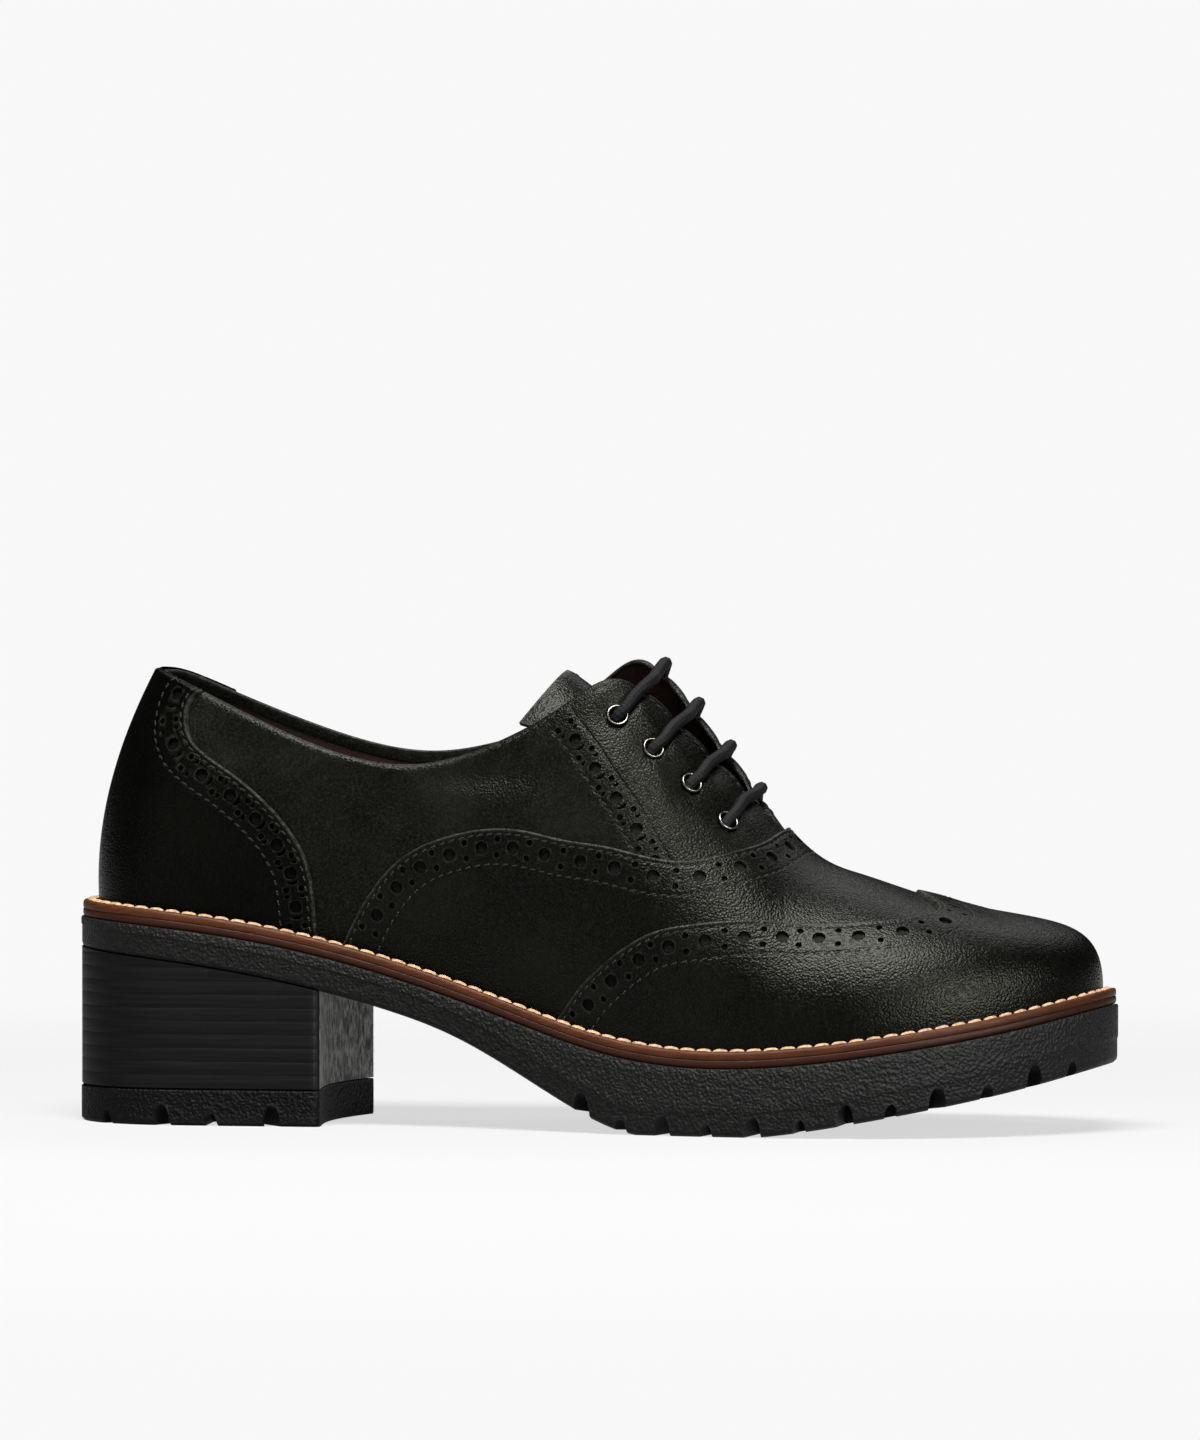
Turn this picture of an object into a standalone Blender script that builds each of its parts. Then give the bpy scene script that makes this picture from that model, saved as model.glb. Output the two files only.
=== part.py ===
"""Wing-tip lace-up shoe on a block heel, right foot, modelled at its real size.

The form is a last. A feather line runs round the shoe where the upper meets the welt, a top line
follows the collar, the facings and the ridge of the vamp, and one curved rib joins the two at each
place round the shoe. Upper, overlays and eyelets all come from that one surface.

Tables are in millimetres. A station is a distance along the shoe from the back of the heel, and
"round" is a place round the feather line: 0 at the heel's back, 1 at the toe and 2 at the heel again,
with the outer (lateral) side first. The floor is at height 0, the lateral side is at -Y.
"""

import math

import bmesh
import bpy
import numpy as np
from mathutils import Matrix, Vector

MM = 0.001

# Driving dimensions
LENGTH = 268.4
HEEL_ROUND = 31.0
HEEL_SQUARENESS = 2.15
TOE_ROUND = 62.0
TOE_SQUARENESS = 2.2

GAP = 0.3
SHEET_GAP = 0.45
WALL = 1.8
LEATHER = 1.0

WELT_HEIGHT = 4.0
WELT_SET_BACK = 0.5
WELT_ROUNDING = 0.9

FEATHER_INSET = 5.9
TOE_CAP_INSET = 0.6
TOE_CAP_FROM = 0.55
TOE_CAP_FULL = 0.85

INSOLE_ABOVE_WELT = 2.4

SOLE_TOP_BEVEL = 0.6
SOLE_BOTTOM_BEVEL = 1.3

HEEL_BREAST = 69.5
BREAST_HOLLOW = 3.5
BREAST_CORNER = 2.0
HEEL_SET_BACK = 0.5
TOP_PIECE_SET_BACK = 0.2
TOP_PIECE_HEIGHT = 9.2

EYELET_HOLE = 2.0
EYELET_BARREL = 2.4
EYELET_FLANGE = 3.0
EYELET_LIP = 0.5
EYELET_DEPTH = 2.6
EYELET_ROUNDING = 0.3

LACE = 3.0
LACE_CROWN = 1.2

TONGUE_THICKNESS = 2.0

# Half widths of the sole's edge from the shoe's axis, before the ends are rounded
OUTLINE = (
    ("station", "lateral", "medial"),
    (0.0, 31.0, 30.4),
    (40.0, 31.2, 30.6),
    (70.0, 30.4, 29.2),
    (100.0, 32.0, 28.4),
    (132.0, 38.4, 32.0),
    (165.0, 45.8, 39.6),
    (195.0, 48.2, 45.4),
    (230.0, 45.8, 45.8),
    (267.0, 36.0, 44.0),
)

# Heights of the outsole's top and underside above the floor
SOLE_TOP = (
    ("station", "height"),
    (0.0, 52.6),
    (30.0, 50.0),
    (60.0, 45.3),
    (90.0, 37.7),
    (120.0, 28.0),
    (145.0, 20.3),
    (170.0, 17.0),
    (195.0, 17.9),
    (225.0, 22.0),
    (250.0, 26.9),
    (267.0, 31.4),
)
SOLE_UNDERSIDE = (
    ("station", "height"),
    (0.0, 44.8),
    (30.0, 41.6),
    (69.0, 34.6),
    (88.0, 29.6),
    (104.0, 24.0),
    (121.0, 15.4),
    (138.0, 6.0),
    (150.0, 1.0),
    (168.0, -0.8),
    (186.0, 0.0),
    (205.0, 2.7),
    (229.0, 7.2),
    (251.0, 12.2),
    (267.0, 16.8),
)

# Ribs: where each one ends on the top line and how it bends on its way there.
# "fall" is the slope of the surface at the top line and "lean" its outward tilt at the feather line,
# in degrees, and the two pulls are handle lengths as shares of the rib's chord.
RIBS = (
    (
        "round", "station", "y_lateral", "y_medial", "z_lateral", "z_medial",
        "fall", "lean", "low_pull", "high_pull",
    ),
    (0.00, 20.6, 0.0, 0.0, 116.4, 116.4, 62.0, 3.0, 0.42, 0.25),
    (0.06, 23.6, -8.4, 8.4, 115.4, 115.8, 66.0, 4.0, 0.40, 0.25),
    (0.13, 34.0, -15.6, 15.6, 111.2, 111.1, 72.0, 7.0, 0.38, 0.26),
    (0.235, 60.0, -22.6, 22.4, 99.6, 100.3, 82.0, 9.0, 0.36, 0.28),
    (0.33, 86.0, -24.8, 24.2, 92.2, 94.8, 86.0, 8.0, 0.36, 0.30),
    (0.40, 105.0, -24.4, 23.8, 94.4, 97.6, 82.0, 7.0, 0.36, 0.30),
    (0.45, 120.0, -23.0, 22.6, 100.8, 103.6, 73.0, 7.0, 0.35, 0.28),
    (0.50, 134.0, -21.2, 21.0, 109.4, 114.8, 64.0, 7.0, 0.35, 0.26),
    (0.53, 142.6, -18.8, 18.6, 114.0, 118.8, 57.0, 7.0, 0.35, 0.24),
    (0.555, 150.0, -15.8, 15.8, 112.0, 115.2, 50.0, 7.0, 0.35, 0.22),
    (0.60, 162.0, -10.8, 10.8, 100.6, 102.2, 38.0, 7.0, 0.35, 0.21),
    (0.65, 175.6, -4.4, 4.4, 85.6, 86.2, 22.0, 7.0, 0.35, 0.22),
    (0.68, 184.4, 0.0, 0.0, 74.6, 74.6, 6.0, 7.0, 0.35, 0.24),
    (0.76, 201.4, 0.3, 0.3, 63.4, 63.4, 0.0, 6.0, 0.38, 0.32),
    (0.85, 217.0, 1.0, 1.0, 58.0, 58.0, 0.0, 5.0, 0.42, 0.44),
    (0.93, 227.0, 1.6, 1.6, 54.7, 54.7, 0.0, 3.0, 0.42, 0.57),
    (1.00, 231.0, 2.0, 2.0, 53.8, 53.8, 0.0, 1.0, 0.43, 0.67),
)
THROAT = 0.68
FACING_TOP = 0.57

# Edges of the overlays on either side, as (round, share of the rib's height) points from the welt up
COUNTER_EDGE = (
    ("round", "share"),
    (0.275, 0.00), (0.271, 0.22), (0.262, 0.38), (0.238, 0.53), (0.213, 0.61), (0.186, 0.66),
    (0.160, 0.69), (0.141, 0.73), (0.129, 0.80), (0.126, 0.89), (0.138, 1.00),
)
VAMP_EDGE = (
    ("round", "share"),
    (0.296, 0.00), (0.310, 0.20), (0.323, 0.34), (0.345, 0.50), (0.373, 0.60), (0.410, 0.64),
    (0.455, 0.60), (0.505, 0.51), (0.550, 0.465), (0.595, 0.49), (0.630, 0.565), (0.661, 0.70),
    (0.674, 0.85), (0.680, 1.00),
)
CAP_EDGE = (
    ("round", "share"),
    (0.478, 0.00), (0.501, 0.115), (0.521, 0.177), (0.547, 0.238), (0.573, 0.288), (0.600, 0.325),
    (0.636, 0.368), (0.683, 0.425), (0.738, 0.470), (0.779, 0.502), (0.808, 0.555), (0.832, 0.65),
    (0.845, 0.80), (0.850, 1.00),
)
EDGE_SCALE = (290.0, 70.0)
LOWEST = 0.012

# Places of the ribs along the vamp's ridge, which the upper and its overlays share
RIDGE_PLACES = np.concatenate([np.linspace(THROAT, 0.76, 5)[:-1], np.linspace(0.76, 1.0, 9)])

# Eyelets: where they sit on the surface, from the top of the throat down
EYELETS = ((0.542, 0.850), (0.573, 0.790), (0.607, 0.765), (0.638, 0.715))

# Laces: how far each bar drifts towards the toe on its way to the facing's edge, the clearance under the
# cord at parts of that way, and the lean of the crown between the facings
LACE_DRIFT = (0.006, 0.010, 0.012, 0.013)
LACE_STOPS = ((0.0, 1.2), (0.5, 0.8), (1.0, 0.6))
CROWN_LEAN = (0.5, 0.0, 1.0)

# Tongue: its centre line from the root under the vamp to the tip, its half width and side drop
TONGUE = (
    ("station", "height", "half_width", "drop"),
    (198.0, 61.9, 9.0, 3.4),
    (191.0, 64.2, 11.0, 4.6),
    (182.0, 70.0, 14.0, 6.0),
    (172.0, 78.4, 16.0, 7.0),
    (158.0, 91.2, 17.5, 8.0),
    (146.0, 101.6, 18.0, 9.0),
    (136.0, 110.0, 18.0, 12.5),
    (127.6, 116.2, 15.5, 16.5),
)

# Notches of the tread, as stations along the edge, deep and shallow ones by turns
SOLE_NOTCHES = (140.0, 150.5, 161.5, 173.0, 185.0, 197.0, 208.5, 220.0, 231.0, 242.5, 253.0, 261.0)
HEEL_NOTCHES = (8.0, 21.0, 35.0, 51.0)
DEEP_NOTCH = {"width": 3.6, "height": 4.6, "reach": 17.0}
SHALLOW_NOTCH = {"width": 2.6, "height": 2.4, "reach": 10.0}
NOTCH_OVERRUN = 3.0

# Fineness of the meshes
EDGE_SAMPLES = 700
ROWS = 8
SOLE_SECTIONS = 45
INSOLE_SECTIONS = 37
WELT_SECTIONS = 64
HEEL_SIDE_POINTS = 15
HEEL_FRONT_POINTS = 9
NOTCH_BOW_POINTS = 5
VAMP_EDGE_POINTS = 23
CAP_EDGE_POINTS = 19
COUNTER_ROWS = 11
COUNTER_COLUMNS = 21
TONGUE_ROWS = 11
TONGUE_POINTS = 9
EYELET_SIDES = 8
LACE_POINTS = 11
SHARP_DEGREES = 40

# Steps for slopes and normals, the highest share at which a normal is worked out, and a very small gap
SLOPE_STEP = 0.01
NORMAL_STEP = 0.004
HIGHEST = 0.985
CLOSE = 1e-6

# Colour, roughness and metallic value of each material
FINISHES = {
    "black_leather": ((0.012, 0.012, 0.012), 0.35, 0.0),
    "lining_leather": ((0.055, 0.016, 0.010), 0.7, 0.0),
    "welt_leather": ((0.20, 0.065, 0.022), 0.5, 0.0),
    "sole_rubber": ((0.014, 0.015, 0.014), 0.75, 0.0),
    "heel_stack": ((0.016, 0.016, 0.016), 0.5, 0.0),
    "eyelet_metal": ((0.10, 0.095, 0.08), 0.35, 1.0),
    "lace_cord": ((0.014, 0.014, 0.015), 0.6, 0.0),
}


# Curves and the last

def column(table, name):
    """One column of a table, by the name in its first row."""
    header, *rows = table
    return np.array([row[header.index(name)] for row in rows], float)


def spline(knots, values, at, start="even", end="even"):
    """Smooth curve through a table's column. An end is mirrored ("even") or left free ("free")."""
    knots = np.asarray(knots, float)
    values = np.asarray(values, float)
    if start == "even":
        knots = np.concatenate([2 * knots[0] - knots[3:0:-1], knots])
        values = np.concatenate([values[3:0:-1], values])
    if end == "even":
        knots = np.concatenate([knots, 2 * knots[-1] - knots[-2:-5:-1]])
        values = np.concatenate([values, values[-2:-5:-1]])
    step = np.diff(knots)
    rise = np.diff(values) / step
    system = np.eye(len(knots))
    right = np.zeros(len(knots))
    for i in range(1, len(knots) - 1):
        system[i, i - 1:i + 2] = step[i - 1], 2 * (step[i - 1] + step[i]), step[i]
        right[i] = 6 * (rise[i] - rise[i - 1])
    bend = np.linalg.solve(system, right)
    at = np.asarray(at, float)
    i = np.clip(np.searchsorted(knots, at) - 1, 0, len(step) - 1)
    ahead = at - knots[i]
    behind = knots[i + 1] - at
    return (
        (bend[i] * behind**3 + bend[i + 1] * ahead**3) / (6 * step[i])
        + (values[i] / step[i] - bend[i] * step[i] / 6) * behind
        + (values[i + 1] / step[i] - bend[i + 1] * step[i] / 6) * ahead
    )


def soft_step(value):
    """0 below 0, 1 above 1, and a smooth rise between."""
    x = np.clip(value, 0.0, 1.0)
    return x * x * (3 - 2 * x)


def unit(vectors):
    """Vectors scaled to length 1."""
    return vectors / np.linalg.norm(vectors, axis=-1, keepdims=True)


def length_along(points):
    """Distance from a run's first point to each of its points."""
    return np.concatenate([[0.0], np.cumsum(np.linalg.norm(np.diff(points, axis=0), axis=1))])


def height(table, station):
    """Height of a sole surface at a station."""
    return spline(column(table, "station"), column(table, "height"), station, "free", "free")


def sole_top(station):
    """Top of the outsole."""
    return height(SOLE_TOP, station)


def sole_shoulder(station):
    """Lower end of the bevel round the outsole's top."""
    return sole_top(station) - SOLE_TOP_BEVEL


def sole_underside(station):
    """Underside of the outsole, flat on the floor under the ball of the foot."""
    return np.maximum(height(SOLE_UNDERSIDE, station), 0.0)


def sole_foot(station):
    """Upper end of the bevel round the outsole's underside."""
    return sole_underside(station) + SOLE_BOTTOM_BEVEL


def welt_top(station):
    """Ledge of the welt."""
    return sole_top(station) + GAP + WELT_HEIGHT


def sole_loop():
    """The sole's edge as a closed run of points with outward normals, evenly spread in "round"."""
    swing = np.linspace(0.0, math.pi, EDGE_SAMPLES)
    station = LENGTH * (1 - np.cos(swing)) / 2
    lateral, medial = (
        spline(column(OUTLINE, "station"), column(OUTLINE, side), station, "free", "free")
        for side in ("lateral", "medial")
    )
    heel = np.clip(1 - station / HEEL_ROUND, 0, 1)
    toe = np.clip(1 - (LENGTH - station) / TOE_ROUND, 0, 1)
    half = (medial + lateral) / 2
    half = half * (1 - heel**HEEL_SQUARENESS) ** (1 / HEEL_SQUARENESS)
    half = half * (1 - toe**TOE_SQUARENESS) ** (1 / TOE_SQUARENESS)
    middle = (medial - lateral) / 2 * np.clip(station / HEEL_ROUND, 0, 1)
    runs = []
    for sign in (-1, 1):
        run = np.stack([station, middle + sign * half], axis=1)
        along = length_along(run)
        even = np.linspace(0, along[-1], EDGE_SAMPLES)
        runs.append(np.stack([np.interp(even, along, run[:, k]) for k in (0, 1)], axis=1))
    points = np.concatenate([runs[0], runs[1][-2:0:-1]])
    ahead = np.roll(points, -2, axis=0) - np.roll(points, 2, axis=0)
    return points, unit(np.stack([ahead[:, 1], -ahead[:, 0]], axis=1))


LOOP_POINTS, LOOP_NORMALS = sole_loop()
CENTRE = (LOOP_POINTS.min(axis=0) + LOOP_POINTS.max(axis=0)) / 2


def edge(around, inset=0.0):
    """(station, y) of the sole's edge, set in by some millimetres, and its outward normal."""
    count = len(LOOP_POINTS)
    place = np.asarray(around, float) % 2 * count / 2
    ticks = np.arange(count + 1)

    def read(values):
        """The loop's values at the places asked for."""
        closed = np.concatenate([values, values[:1]])
        return np.stack([np.interp(place, ticks, closed[:, k]) for k in (0, 1)], axis=-1)

    normal = unit(read(LOOP_NORMALS))
    return read(LOOP_POINTS) - np.asarray(inset)[..., None] * normal, normal


def rib_value(name, along):
    """A column of the rib table at a place along one side, 0 at the heel and 1 at the toe."""
    start = "free" if name in ("y_lateral", "y_medial") else "even"
    return spline(column(RIBS, "round"), column(RIBS, name), along, start)


def top_line(around):
    """The collar, the facings' edges and the vamp's ridge: points of the top line, and its slope."""
    around = np.asarray(around, float) % 2
    along = np.where(around > 1, 2 - around, around)
    lateral = around <= 1

    def sided(name, at):
        """A column of the point's own side, or the mean of both sides on the ridge."""
        outer = rib_value(name + "_lateral", at)
        inner = rib_value(name + "_medial", at)
        return np.where(at > THROAT - CLOSE, (outer + inner) / 2, np.where(lateral, outer, inner))

    def point(at):
        """The top line's point."""
        return np.stack([rib_value("station", at), sided("y", at), sided("z", at)], axis=-1)

    here = point(along)
    before = point(along - SLOPE_STEP)
    slope = (here[..., 2] - before[..., 2]) / (here[..., 0] - before[..., 0])
    return here, slope * soft_step((along - FACING_TOP) / (THROAT - FACING_TOP)), along


def feather_inset(around):
    """How far the upper stands in from the sole's edge, a little more where the toe cap is added."""
    along = 1 - np.abs(1 - np.asarray(around, float) % 2)
    return FEATHER_INSET + TOE_CAP_INSET * soft_step((along - TOE_CAP_FROM) / (TOE_CAP_FULL - TOE_CAP_FROM))


def inside_upper(around, clearance):
    """An inset that follows the upper's inner wall at some clearance."""
    return feather_inset(around) + WALL + clearance


def last_point(around, share):
    """A point of the last's surface, by its place round the shoe and its share of the rib's height.

    Each rib is a cubic curve from the feather line to the top line.
    """
    around, share = np.broadcast_arrays(np.asarray(around, float), np.asarray(share, float))
    top, slope, along = top_line(around)
    flat, normal = edge(around, feather_inset(around))
    foot = np.concatenate([flat, (welt_top(flat[..., 0]) + GAP)[..., None]], axis=-1)
    chord = np.linalg.norm(top - foot, axis=-1, keepdims=True)
    lean = np.radians(rib_value("lean", along))[..., None]
    fall = np.radians(rib_value("fall", along))[..., None]
    up = np.array([0.0, 0.0, 1.0])
    out = np.concatenate([normal, np.zeros_like(normal[..., :1])], axis=-1)
    level = out + (slope * out[..., 0])[..., None] * up
    low = foot + rib_value("low_pull", along)[..., None] * chord * (np.cos(lean) * up + np.sin(lean) * out)
    high = top + rib_value("high_pull", along)[..., None] * chord * (np.cos(fall) * level - np.sin(fall) * up)
    t = share[..., None]
    return foot * (1 - t) ** 3 + 3 * low * t * (1 - t) ** 2 + 3 * high * t**2 * (1 - t) + top * t**3


def last_normal(around, share):
    """Outward normal of the last's surface, by differences a little below the top line."""
    around, share = np.broadcast_arrays(np.asarray(around, float), np.asarray(share, float))
    step = NORMAL_STEP
    held = np.clip(share, 0, HIGHEST)
    low = np.clip(share - step, 0, HIGHEST - step)
    high = np.clip(share + step, step, HIGHEST)
    along = last_point(around + step, held) - last_point(around - step, held)
    up = last_point(around, high) - last_point(around, low)
    _, slope, place = top_line(around)
    ridge = np.stack([-slope, np.zeros_like(slope), np.ones_like(slope)], axis=-1)
    on_ridge = (share > 1 - NORMAL_STEP / 4) & (place > THROAT - CLOSE)
    return unit(np.where(on_ridge[..., None], ridge, np.cross(along, up)))


def raised(around, share, lift):
    """A point held off the last's surface along its normal."""
    return last_point(around, share) + lift * last_normal(around, share)


# Making meshes

def in_frame(points):
    """Millimetres from the heel to metres from the middle of the footprint."""
    return (np.asarray(points, float) - [CENTRE[0], CENTRE[1], 0.0]) * MM


def finish_material(name):
    """A plain material with the colour, roughness and metallic value of its finish."""
    material = bpy.data.materials.get(name)
    if material is None:
        colour, roughness, metallic = FINISHES[name]
        material = bpy.data.materials.new(name)
        material.use_nodes = True
        shader = material.node_tree.nodes["Principled BSDF"]
        shader.inputs["Base Color"].default_value = (*colour, 1.0)
        shader.inputs["Roughness"].default_value = roughness
        shader.inputs["Metallic"].default_value = metallic
    return material


def add_object(name, data, collection, material=None):
    """Links a new object into a collection and gives its data a material."""
    shoe_object = bpy.data.objects.new(name, data)
    collection.objects.link(shoe_object)
    if material:
        data.materials.append(finish_material(material))
    return shoe_object


def grid_mesh(name, grid, closed=(False, False), recalculate=False):
    """A mesh of quads over a grid of points, its doubles merged, closed along either direction."""
    rows, columns = grid.shape[:2]
    index = np.arange(rows * columns).reshape(rows, columns)
    for axis, is_closed in enumerate(closed):
        if is_closed:
            index = np.concatenate([index, index.take([0], axis=axis)], axis=axis)
    quads = np.stack([index[:-1, :-1], index[1:, :-1], index[1:, 1:], index[:-1, 1:]], axis=-1)
    mesh = bpy.data.meshes.new(name)
    mesh.from_pydata(in_frame(grid.reshape(-1, 3)).tolist(), [], quads.reshape(-1, 4).tolist())
    work = bmesh.new()
    work.from_mesh(mesh)
    bmesh.ops.remove_doubles(work, verts=work.verts, dist=CLOSE)
    bmesh.ops.dissolve_degenerate(work, edges=work.edges, dist=CLOSE)
    if recalculate:
        bmesh.ops.recalc_face_normals(work, faces=work.faces)
    work.to_mesh(mesh)
    work.free()
    mesh.shade_smooth()
    mesh.set_sharp_from_angle(angle=math.radians(SHARP_DEGREES))
    return mesh


def cap_ends(mesh):
    """Closes the open ends of a loft with flat faces."""
    work = bmesh.new()
    work.from_mesh(mesh)
    bmesh.ops.holes_fill(work, edges=work.edges, sides=0)
    bmesh.ops.recalc_face_normals(work, faces=work.faces)
    work.to_mesh(mesh)
    work.free()
    return mesh


def thicken(shoe_object, thickness, side):
    """Gives a sheet its thickness: side -1 goes inwards and 1 outwards."""
    shell = shoe_object.modifiers.new("wall", "SOLIDIFY")
    shell.thickness = thickness * MM
    shell.offset = side
    shell.use_even_offset = False


def cut(shoe_object, cutter):
    """Takes a cutter's shape out of an object."""
    hole = shoe_object.modifiers.new("cut", "BOOLEAN")
    hole.operation = "DIFFERENCE"
    hole.object = cutter


def as_cutter(name, work, collection):
    """Turns worked-out geometry into a cutter object."""
    bmesh.ops.recalc_face_normals(work, faces=work.faces)
    mesh = bpy.data.meshes.new(name)
    work.to_mesh(mesh)
    work.free()
    cutter = add_object(name, mesh, collection)
    cutter.hide_render = True
    cutter.display_type = "WIRE"
    return cutter


# Bottom unit

def across(around, levels):
    """Closed sections across the shoe, one for each place along it, from (inset, height) levels.

    Each section goes through the lateral side's levels and back through the medial side's. An inset
    is a number or a function of the place round the shoe.
    """
    points = []
    for side, order in ((around, levels), (2 - around, levels[::-1])):
        for inset, level in order:
            flat, _ = edge(side, inset(side) if callable(inset) else np.full_like(side, inset))
            points.append(np.concatenate([flat, level(flat[:, 0])[:, None]], axis=1))
    return np.stack(points, axis=1)


def place_at_station(station, low, high):
    """The place round the shoe, between two others, where the sole's edge passes a station."""
    places = np.linspace(low, high, EDGE_SAMPLES)
    return places[np.argmin(np.abs(edge(places)[0][:, 0] - station))]


def add_notch(work, around, floor, notch):
    """Adds one arch-shaped groove that runs in from the edge: its profile, extruded inwards."""
    flat, normal = edge(around)
    inward = np.array([-normal[0], -normal[1], 0.0])
    beside = np.array([-inward[1], inward[0], 0.0])
    start = np.array([flat[0], flat[1], floor]) - NOTCH_OVERRUN * inward
    half = notch["width"] / 2
    straight = notch["height"] - half
    bow = np.linspace(0.0, math.pi, NOTCH_BOW_POINTS)
    profile = [(half * math.cos(a), straight + half * math.sin(a)) for a in bow]
    profile = [(half, -NOTCH_OVERRUN), *profile, (-half, -NOTCH_OVERRUN)]
    corners = [start + x * beside + [0.0, 0.0, z] for x, z in profile]
    face = work.faces.new([work.verts.new(point) for point in in_frame(corners)])
    moved = bmesh.ops.extrude_face_region(work, geom=[face], use_keep_orig=True)["geom"]
    run = inward * (notch["reach"] + NOTCH_OVERRUN) * MM
    bmesh.ops.translate(work, vec=run, verts=[v for v in moved if isinstance(v, bmesh.types.BMVert)])


def notch_cutter(name, stations, kinds, floor, collection):
    """Grooves at the same stations on both sides, with two kinds by turns."""
    work = bmesh.new()
    for number, station in enumerate(stations):
        for low, high in ((0.0, 1.0), (1.0, 2.0)):
            around = place_at_station(station, low, high)
            add_notch(work, around, float(floor(station)), kinds[number % len(kinds)])
    return as_cutter(name, work, collection)


def build_outsole(parts, cutters):
    """The rubber sole: bevelled sections from heel to toe, with notches along the lower edge."""
    levels = (
        (SOLE_TOP_BEVEL, sole_top),
        (0.0, sole_shoulder),
        (0.0, sole_foot),
        (SOLE_BOTTOM_BEVEL, sole_underside),
    )
    sections = across(np.linspace(0.0, 1.0, SOLE_SECTIONS), levels)
    outsole = add_object("outsole", grid_mesh("outsole", sections, (False, True), True), parts, "sole_rubber")
    kinds = (DEEP_NOTCH, SHALLOW_NOTCH)
    cut(outsole, notch_cutter("sole_notches", SOLE_NOTCHES, kinds, sole_underside, cutters))


def heel_outline(inset):
    """Plan of the heel: round at the back, with bevelled corners and a hollow front."""
    full = np.linspace(0.0, 1.0, EDGE_SAMPLES)
    runs = []
    for side in (full, 2 - full):
        flat = edge(side, np.full_like(full, inset))[0]
        end = np.argmax(flat[:, 0] > HEEL_BREAST - BREAST_CORNER)
        runs.append(flat[np.linspace(0, end, HEEL_SIDE_POINTS).astype(int)])
    lateral, medial = runs
    bevel = np.array([math.sin(math.pi / 4), 1 - math.cos(math.pi / 4)]) * BREAST_CORNER
    along_front = np.linspace(0.0, 1.0, HEEL_FRONT_POINTS)
    y = (lateral[-1][1] + BREAST_CORNER) * (1 - along_front) + (medial[-1][1] - BREAST_CORNER) * along_front
    hollow = HEEL_BREAST - BREAST_HOLLOW * np.sin(math.pi * along_front)
    front = np.stack([hollow, y], axis=1)
    left = lateral[-1] + bevel
    right = medial[-1] + bevel * [1, -1]
    return np.concatenate([lateral, [left], front, [right], medial[:0:-1]])


def floor_level(station):
    """The floor."""
    return np.zeros_like(station)


def top_piece_top(station):
    """Flat top of the heel's rubber lift."""
    return np.full_like(station, TOP_PIECE_HEIGHT)


def block_base(station):
    """Underside of the heel block."""
    return top_piece_top(station) + GAP


def block_top(station):
    """Top of the heel block, which follows the outsole's underside."""
    return height(SOLE_UNDERSIDE, station) - GAP


def heel_slab(name, low, high, inset_low, inset_high):
    """A slab with the heel's plan, its top and underside at heights given along the shoe."""
    rings = []
    for level, inset in ((low, inset_low), (high, inset_high)):
        plan = heel_outline(inset)
        rings.append(np.concatenate([plan, level(plan[:, 0])[:, None]], axis=1))
    return cap_ends(grid_mesh(name, np.stack(rings, axis=1), (True, False)))


def build_heel(parts, cutters):
    """The heel block and the notched lift under it."""
    block = heel_slab("heel_block", block_base, block_top, HEEL_SET_BACK, HEEL_SET_BACK)
    add_object("heel_block", block, parts, "heel_stack")
    slab = heel_slab("heel_top_piece", floor_level, top_piece_top, HEEL_SET_BACK, TOP_PIECE_SET_BACK)
    lift = add_object("heel_top_piece", slab, parts, "sole_rubber")
    kinds = (SHALLOW_NOTCH, DEEP_NOTCH)
    cut(lift, notch_cutter("heel_notches", HEEL_NOTCHES, kinds, floor_level, cutters))


def build_welt(parts):
    """A strip all round the sole's edge with a bevelled outer side."""
    around = np.linspace(0.0, 2.0, WELT_SECTIONS, endpoint=False)
    inner = inside_upper(around, GAP)
    profile = (
        (WELT_SET_BACK + WELT_ROUNDING, GAP),
        (WELT_SET_BACK, GAP + WELT_ROUNDING),
        (WELT_SET_BACK, GAP + WELT_HEIGHT - WELT_ROUNDING),
        (WELT_SET_BACK + WELT_ROUNDING, GAP + WELT_HEIGHT),
        (inner, GAP + WELT_HEIGHT),
        (inner, GAP),
    )
    rings = []
    for inset, lift in profile:
        flat, _ = edge(around, np.zeros_like(around) + inset)
        rings.append(np.concatenate([flat, (sole_top(flat[:, 0]) + lift)[:, None]], axis=1))
    mesh = grid_mesh("welt", np.stack(rings, axis=1), (True, True), True)
    add_object("welt", mesh, parts, "welt_leather")


def insole_inset(around):
    """Edge of the insole, clear of the upper's wall."""
    return inside_upper(around, 2 * GAP)


def insole_top(station):
    """Top of the insole."""
    return welt_top(station) + INSOLE_ABOVE_WELT


def insole_base(station):
    """Underside of the insole."""
    return sole_top(station) + GAP


def build_insole(parts):
    """The pad that fills the welt's ring and lies on the outsole."""
    levels = ((insole_inset, insole_top), (insole_inset, insole_base))
    sections = across(np.linspace(0.0, 1.0, INSOLE_SECTIONS), levels)
    add_object("insole", grid_mesh("insole", sections, (False, True), True), parts, "lining_leather")


# Upper and overlays

def both_sides(places):
    """Places along the lateral side, heel to toe, with their mirror places along the medial side."""
    return np.concatenate([places, 2 - places[-2::-1]])


def upper_places():
    """Places round the shoe for the upper's ribs, closer together at the heel, throat and toe."""
    half = np.concatenate([
        np.linspace(0.0, 0.12, 7)[:-1],
        np.linspace(0.12, 0.48, 9)[:-1],
        np.linspace(0.48, THROAT, 10)[:-1],
        RIDGE_PLACES,
    ])
    return both_sides(half)[:-1]


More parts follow.
